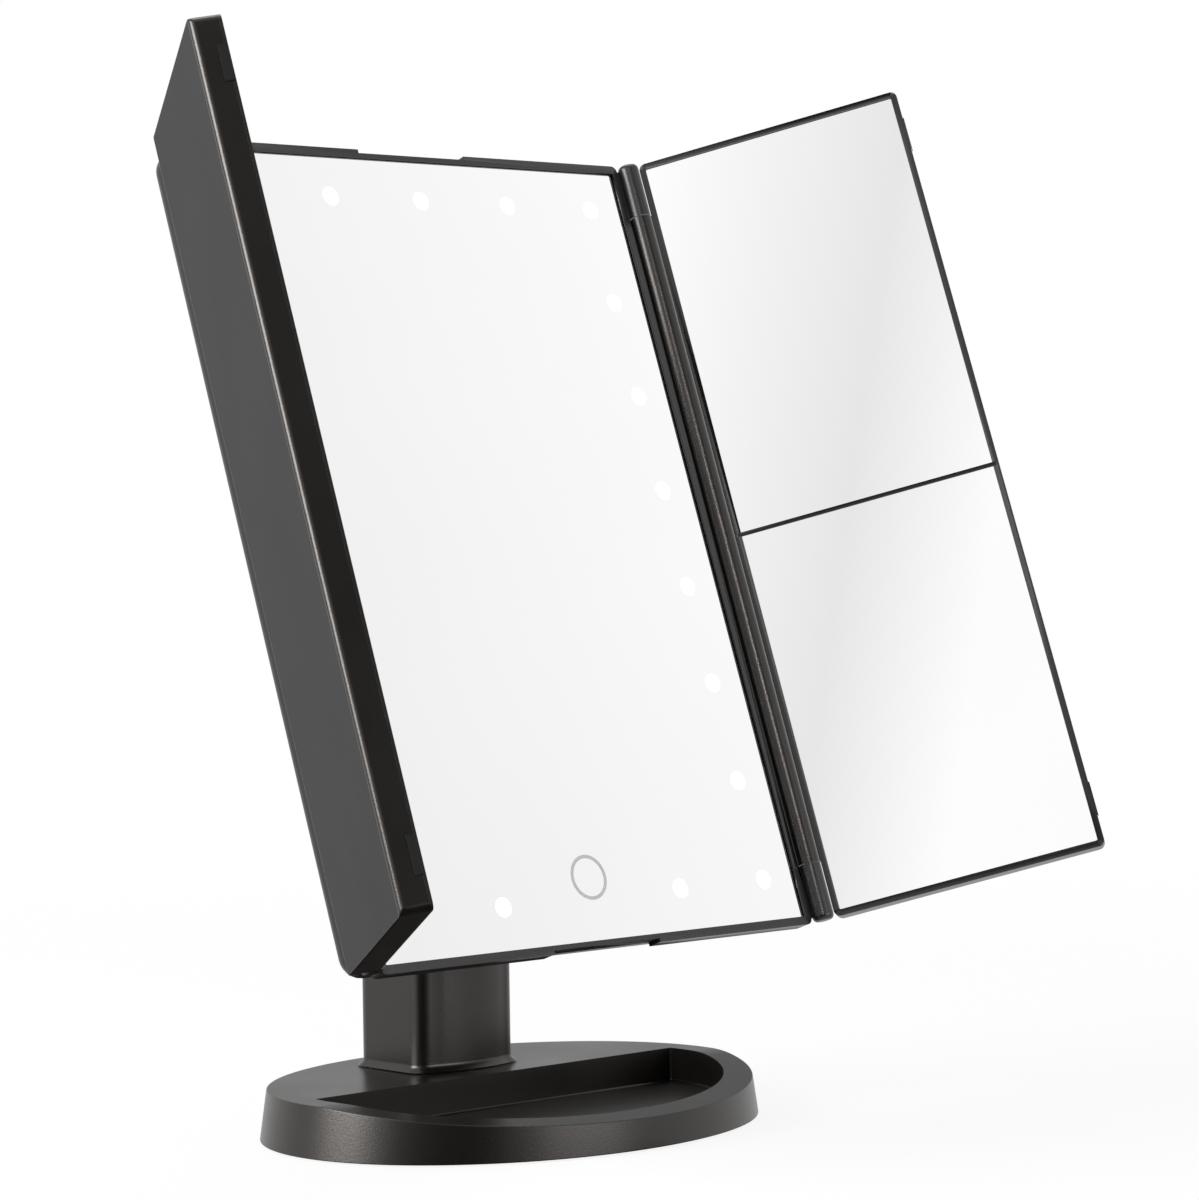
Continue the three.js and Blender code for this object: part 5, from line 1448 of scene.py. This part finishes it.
def make_contact(node, end):
    """A contact strip across the bay with springs for the cells whose flat end points to it."""
    low, high = span(node, HEAD)
    strip_y0, strip_y1 = (low.y, low.y + STRIP) if end < 0 else (high.y - STRIP, high.y)
    parts = [soften(plate(low.x, high.x, strip_y0, strip_y1, low.z, high.z), 0.12, 2)]
    for number in (1, 2, 3, 4):
        x, z, cell_low, cell_high, up = cell_facts(number)
        if up == (end < 0):
            length = (cell_low - strip_y1 if end < 0 else strip_y0 - cell_high) - SPRING_GAP
            spring = lay(make_spring(length), "y")
            if end > 0:
                spring.data.transform(Matrix.Rotation(math.pi, 4, "Z"))
            parts.append(lay(spring, "z", (x, strip_y1 if end < 0 else strip_y0, z)))
    return smooth(as_one(parts), 60)


def add_cells():
    for number in (1, 2, 3, 4):
        x, z, low, high, up = cell_facts(number)
        radius = bay_front - GAP - z
        cell = lay(make_cell(high - low, radius, up), "z", (x, low, z))
        sleeve_low = low + SLEEVE_MARGIN + (0 if up else NUB)
        sleeve_high = high - SLEEVE_MARGIN - (NUB if up else 0)
        bare = [face.index for face in cell.data.polygons if not sleeve_low < face.center.y < sleeve_high]
        settle(cell, f"aa_cell_{number}", HEAD, "head", [f"battery_cell_{number}"])
        cell.data.materials.append(finishes["contact_steel"])
        for index in bare:
            cell.data.polygons[index].material_index = 1


add_cells()
for level, end in (("lower", -1), ("upper", 1)):
    node = f"battery_contact_{level}"
    settle(make_contact(node, end), f"contact_strip_{level}", HEAD, "head", [node])

# %% [markdown]
# ## The studio
#
# Black plastic and mirrors show mostly what stands round them, so the light is planned as reflections. The
# studio is white all round, with a few dark places in it. Low at the front left, where the photographer
# stands, it is dark, which gives the base and the column their black middle. Two dark flags hang near that
# place, for the edge of the left wing and for the frame's lower rim, and a large one stands far behind, for
# the upper side of the base. Two upright gaps between white panels give the mirrors their soft grey
# gradients. All of it is drawn as factors of the direction, in the world and again on the floor, and only
# reflections see it: to the camera the studio is plain white, and as a light it is much dimmer, so that
# black plastic stays black.

# %% Directions in the studio
FLATTEN = 1.9


def towards(azimuth, rise):
    """A direction: degrees from the front towards the user's right, and degrees above the table."""
    a, e = math.radians(azimuth), math.radians(rise)
    return (math.sin(a) * math.cos(e), -math.cos(a) * math.cos(e), math.sin(e))


def dark_cone(tree, direction, azimuth, rise, inner, outer, depth):
    """A factor that is 1 all round and less inside a soft-edged cone of directions."""
    along = add_node(
        tree, "VectorMath", {"operation": "DOT_PRODUCT"}, in0=direction, in1=towards(azimuth, rise))
    return add_node(
        tree, "MapRange", {"interpolation_type": "SMOOTHSTEP"}, Value=(along, "Value"),
        From_Min=math.cos(math.radians(outer)), From_Max=math.cos(math.radians(inner)),
        To_Min=1.0, To_Max=1.0 - depth)


def low_dark_place(tree, direction, azimuth, inner, outer):
    """The dark place by the camera. Heights are stretched first, which makes the cone wide and low."""
    stretched = add_node(
        tree, "VectorMath", {"operation": "MULTIPLY"}, in0=direction, in1=(1, 1, FLATTEN))
    aimed = add_node(tree, "VectorMath", {"operation": "NORMALIZE"}, in0=(stretched, "Vector"))
    return dark_cone(tree, (aimed, "Vector"), azimuth, -4, inner, outer, 0.98)


def grey_gap(tree, direction, azimuth, lean, left, right, depth):
    """A factor that dips in an upright gap, with so many degrees of fade to its left and its right."""
    a, b = math.radians(azimuth), math.radians(lean)
    across = (math.cos(a) * math.cos(b), math.sin(a) * math.cos(b), -math.sin(b))
    offset = add_node(tree, "VectorMath", {"operation": "DOT_PRODUCT"}, in0=direction, in1=across)
    on_left = add_node(
        tree, "Math", {"operation": "DIVIDE"}, in0=(offset, "Value"),
        in1=-math.sin(math.radians(left)))
    on_right = add_node(
        tree, "Math", {"operation": "DIVIDE"}, in0=(offset, "Value"),
        in1=math.sin(math.radians(right)))
    share = add_node(
        tree, "Math", {"operation": "MAXIMUM"}, in0=(on_left, "Value"), in1=(on_right, "Value"))
    return add_node(
        tree, "MapRange", Value=(share, "Value"), From_Min=0.0, From_Max=1.0, To_Min=1.0 - depth,
        To_Max=1.0)


def times(tree, *factors):
    """Multiplies factors together and gives the last node's output."""
    product = (factors[0], "Result")
    for factor in factors[1:]:
        step = add_node(
            tree, "Math", {"operation": "MULTIPLY"}, in0=product, in1=(factor, "Result"))
        product = (step, "Value")
    return product


# %% World and floor
DIFFUSE_LEVEL = 0.35
FLOOR_SIZE = 8.0
FLOOR_IN_GLOSS = 0.9
SHADOW_NEAR = 0.25
SHADOW_FAR = 0.9
SHADOW_SHARE = 0.12


def add_world():
    world = bpy.data.worlds.new("white_studio")
    bpy.context.scene.world = world
    world.use_nodes = True
    tree = world.node_tree
    tree.nodes.clear()
    around = (add_node(tree, "TexCoord"), "Generated")
    seen = times(
        tree,
        low_dark_place(tree, around, -47, 26, 36),
        dark_cone(tree, around, -35, 9, 11, 22, 0.95),
        dark_cone(tree, around, -19, 34, 11, 19, 0.95),
        dark_cone(tree, around, 137, 37, 15, 33, 0.75),
        grey_gap(tree, around, -61.2, 6.3, 3.6, 2.2, 0.19),
        grey_gap(tree, around, 38, 0, 20.0, 14.0, 0.2))
    path = add_node(tree, "LightPath")
    in_gloss = mix_values(tree, (path, "Is Glossy Ray"), DIFFUSE_LEVEL, seen)
    plain = add_node(
        tree, "Math", {"operation": "MAXIMUM"}, in0=(path, "Is Camera Ray"),
        in1=(path, "Is Transmission Ray"))
    strength = mix_values(tree, (plain, "Value"), (in_gloss, "Result"), 1.0)
    light = add_node(tree, "Background", Color=(1, 1, 1, 1), Strength=(strength, "Result"))
    add_node(tree, "OutputWorld", Surface=(light, "Background"))


def add_floor():
    """White paint that keeps the shadow near the object and fades into the white background further off."""
    only(None)
    bpy.ops.mesh.primitive_plane_add(size=FLOOR_SIZE, location=(0, 0, 0))
    floor = bpy.context.active_object
    floor.name = "studio_floor"
    material, tree, place = new_material("white_studio_floor")
    distance = add_node(tree, "VectorMath", {"operation": "LENGTH"}, in0=place)
    own_share = add_node(
        tree, "MapRange", {"interpolation_type": "SMOOTHSTEP"}, Value=(distance, "Value"),
        From_Min=SHADOW_NEAR, From_Max=SHADOW_FAR, To_Min=SHADOW_SHARE, To_Max=0.0)
    direction = add_node(tree, "VectorMath", {"operation": "NORMALIZE"}, in0=place)
    path = add_node(tree, "LightPath")
    in_gloss = add_node(
        tree, "Math", {"operation": "MULTIPLY"},
        in0=(low_dark_place(tree, (direction, "Vector"), -34, 34, 48), "Result"), in1=FLOOR_IN_GLOSS)
    glow = mix_values(tree, (path, "Is Glossy Ray"), 1.0, (in_gloss, "Value"))
    paint = add_node(tree, "BsdfDiffuse", Color=linear("#f4f4f4"))
    white = add_node(tree, "Emission", Color=(1, 1, 1, 1), Strength=(glow, "Result"))
    camera_share = mix_values(tree, (path, "Is Camera Ray"), (path, "Is Diffuse Ray"), (own_share, "Result"))
    mixed = add_node(
        tree, "MixShader", in0=(camera_share, "Result"), in1=(white, "Emission"),
        in2=(paint, "BSDF"))
    finish_material(tree, mixed, "Shader")
    floor.data.materials.append(material)


# %% [markdown]
# Three large soft lamps make the long highlights: one far to the left, which draws the bright lines down the
# wing's edge and the left of the base, a low one at the front right, and one overhead. A small strip lights
# the right hinge alone, for the bright lines on its barrel: it is linked to those pieces, as if it were
# flagged off from the rest. The right wing stays out of all reflections, which keeps the centre glass clean.

# %% Lamps
def add_lamp(name, place, aim, size, power, lit=()):
    """A soft lamp. It lights everything, or only the pieces that are named."""
    only(None)
    bpy.ops.object.light_add(type="AREA", location=place)
    lamp = bpy.context.active_object
    lamp.name = name
    lamp.data.shape = "RECTANGLE"
    lamp.data.size, lamp.data.size_y = size
    lamp.data.energy = power
    lamp.rotation_euler = (Vector(aim) - Vector(place)).to_track_quat("-Z", "Y").to_euler()
    if lit:
        lamp.light_linking.receiver_collection = bpy.data.collections.new(name)
        for piece in lit:
            lamp.light_linking.receiver_collection.objects.link(bpy.data.objects[piece])


add_floor()
add_world()
add_lamp("side_softbox", (-1.3, 0.3, 0.6), (0, 0, 0.12), (0.75, 0.8), 25.5)
add_lamp("front_softbox", (0.35, -1.55, 0.35), (0, 0, 0.1), (0.9, 0.6), 5)
add_lamp("top_softbox", (0.3, 0.4, 1.5), (0, 0, 0.1), (1.0, 1.0), 9)
add_lamp("hinge_strip", (-0.52, -0.72, 0.6), (0.08, 0, 0.17), (0.1, 0.24), 2.4,
         ["right_shell_dressed", "front_frame_dressed"])
for piece in bpy.data.objects:
    if piece.name.startswith("right_"):
        piece.visible_glossy = False
bpy.context.scene.view_settings.view_transform = "Standard"
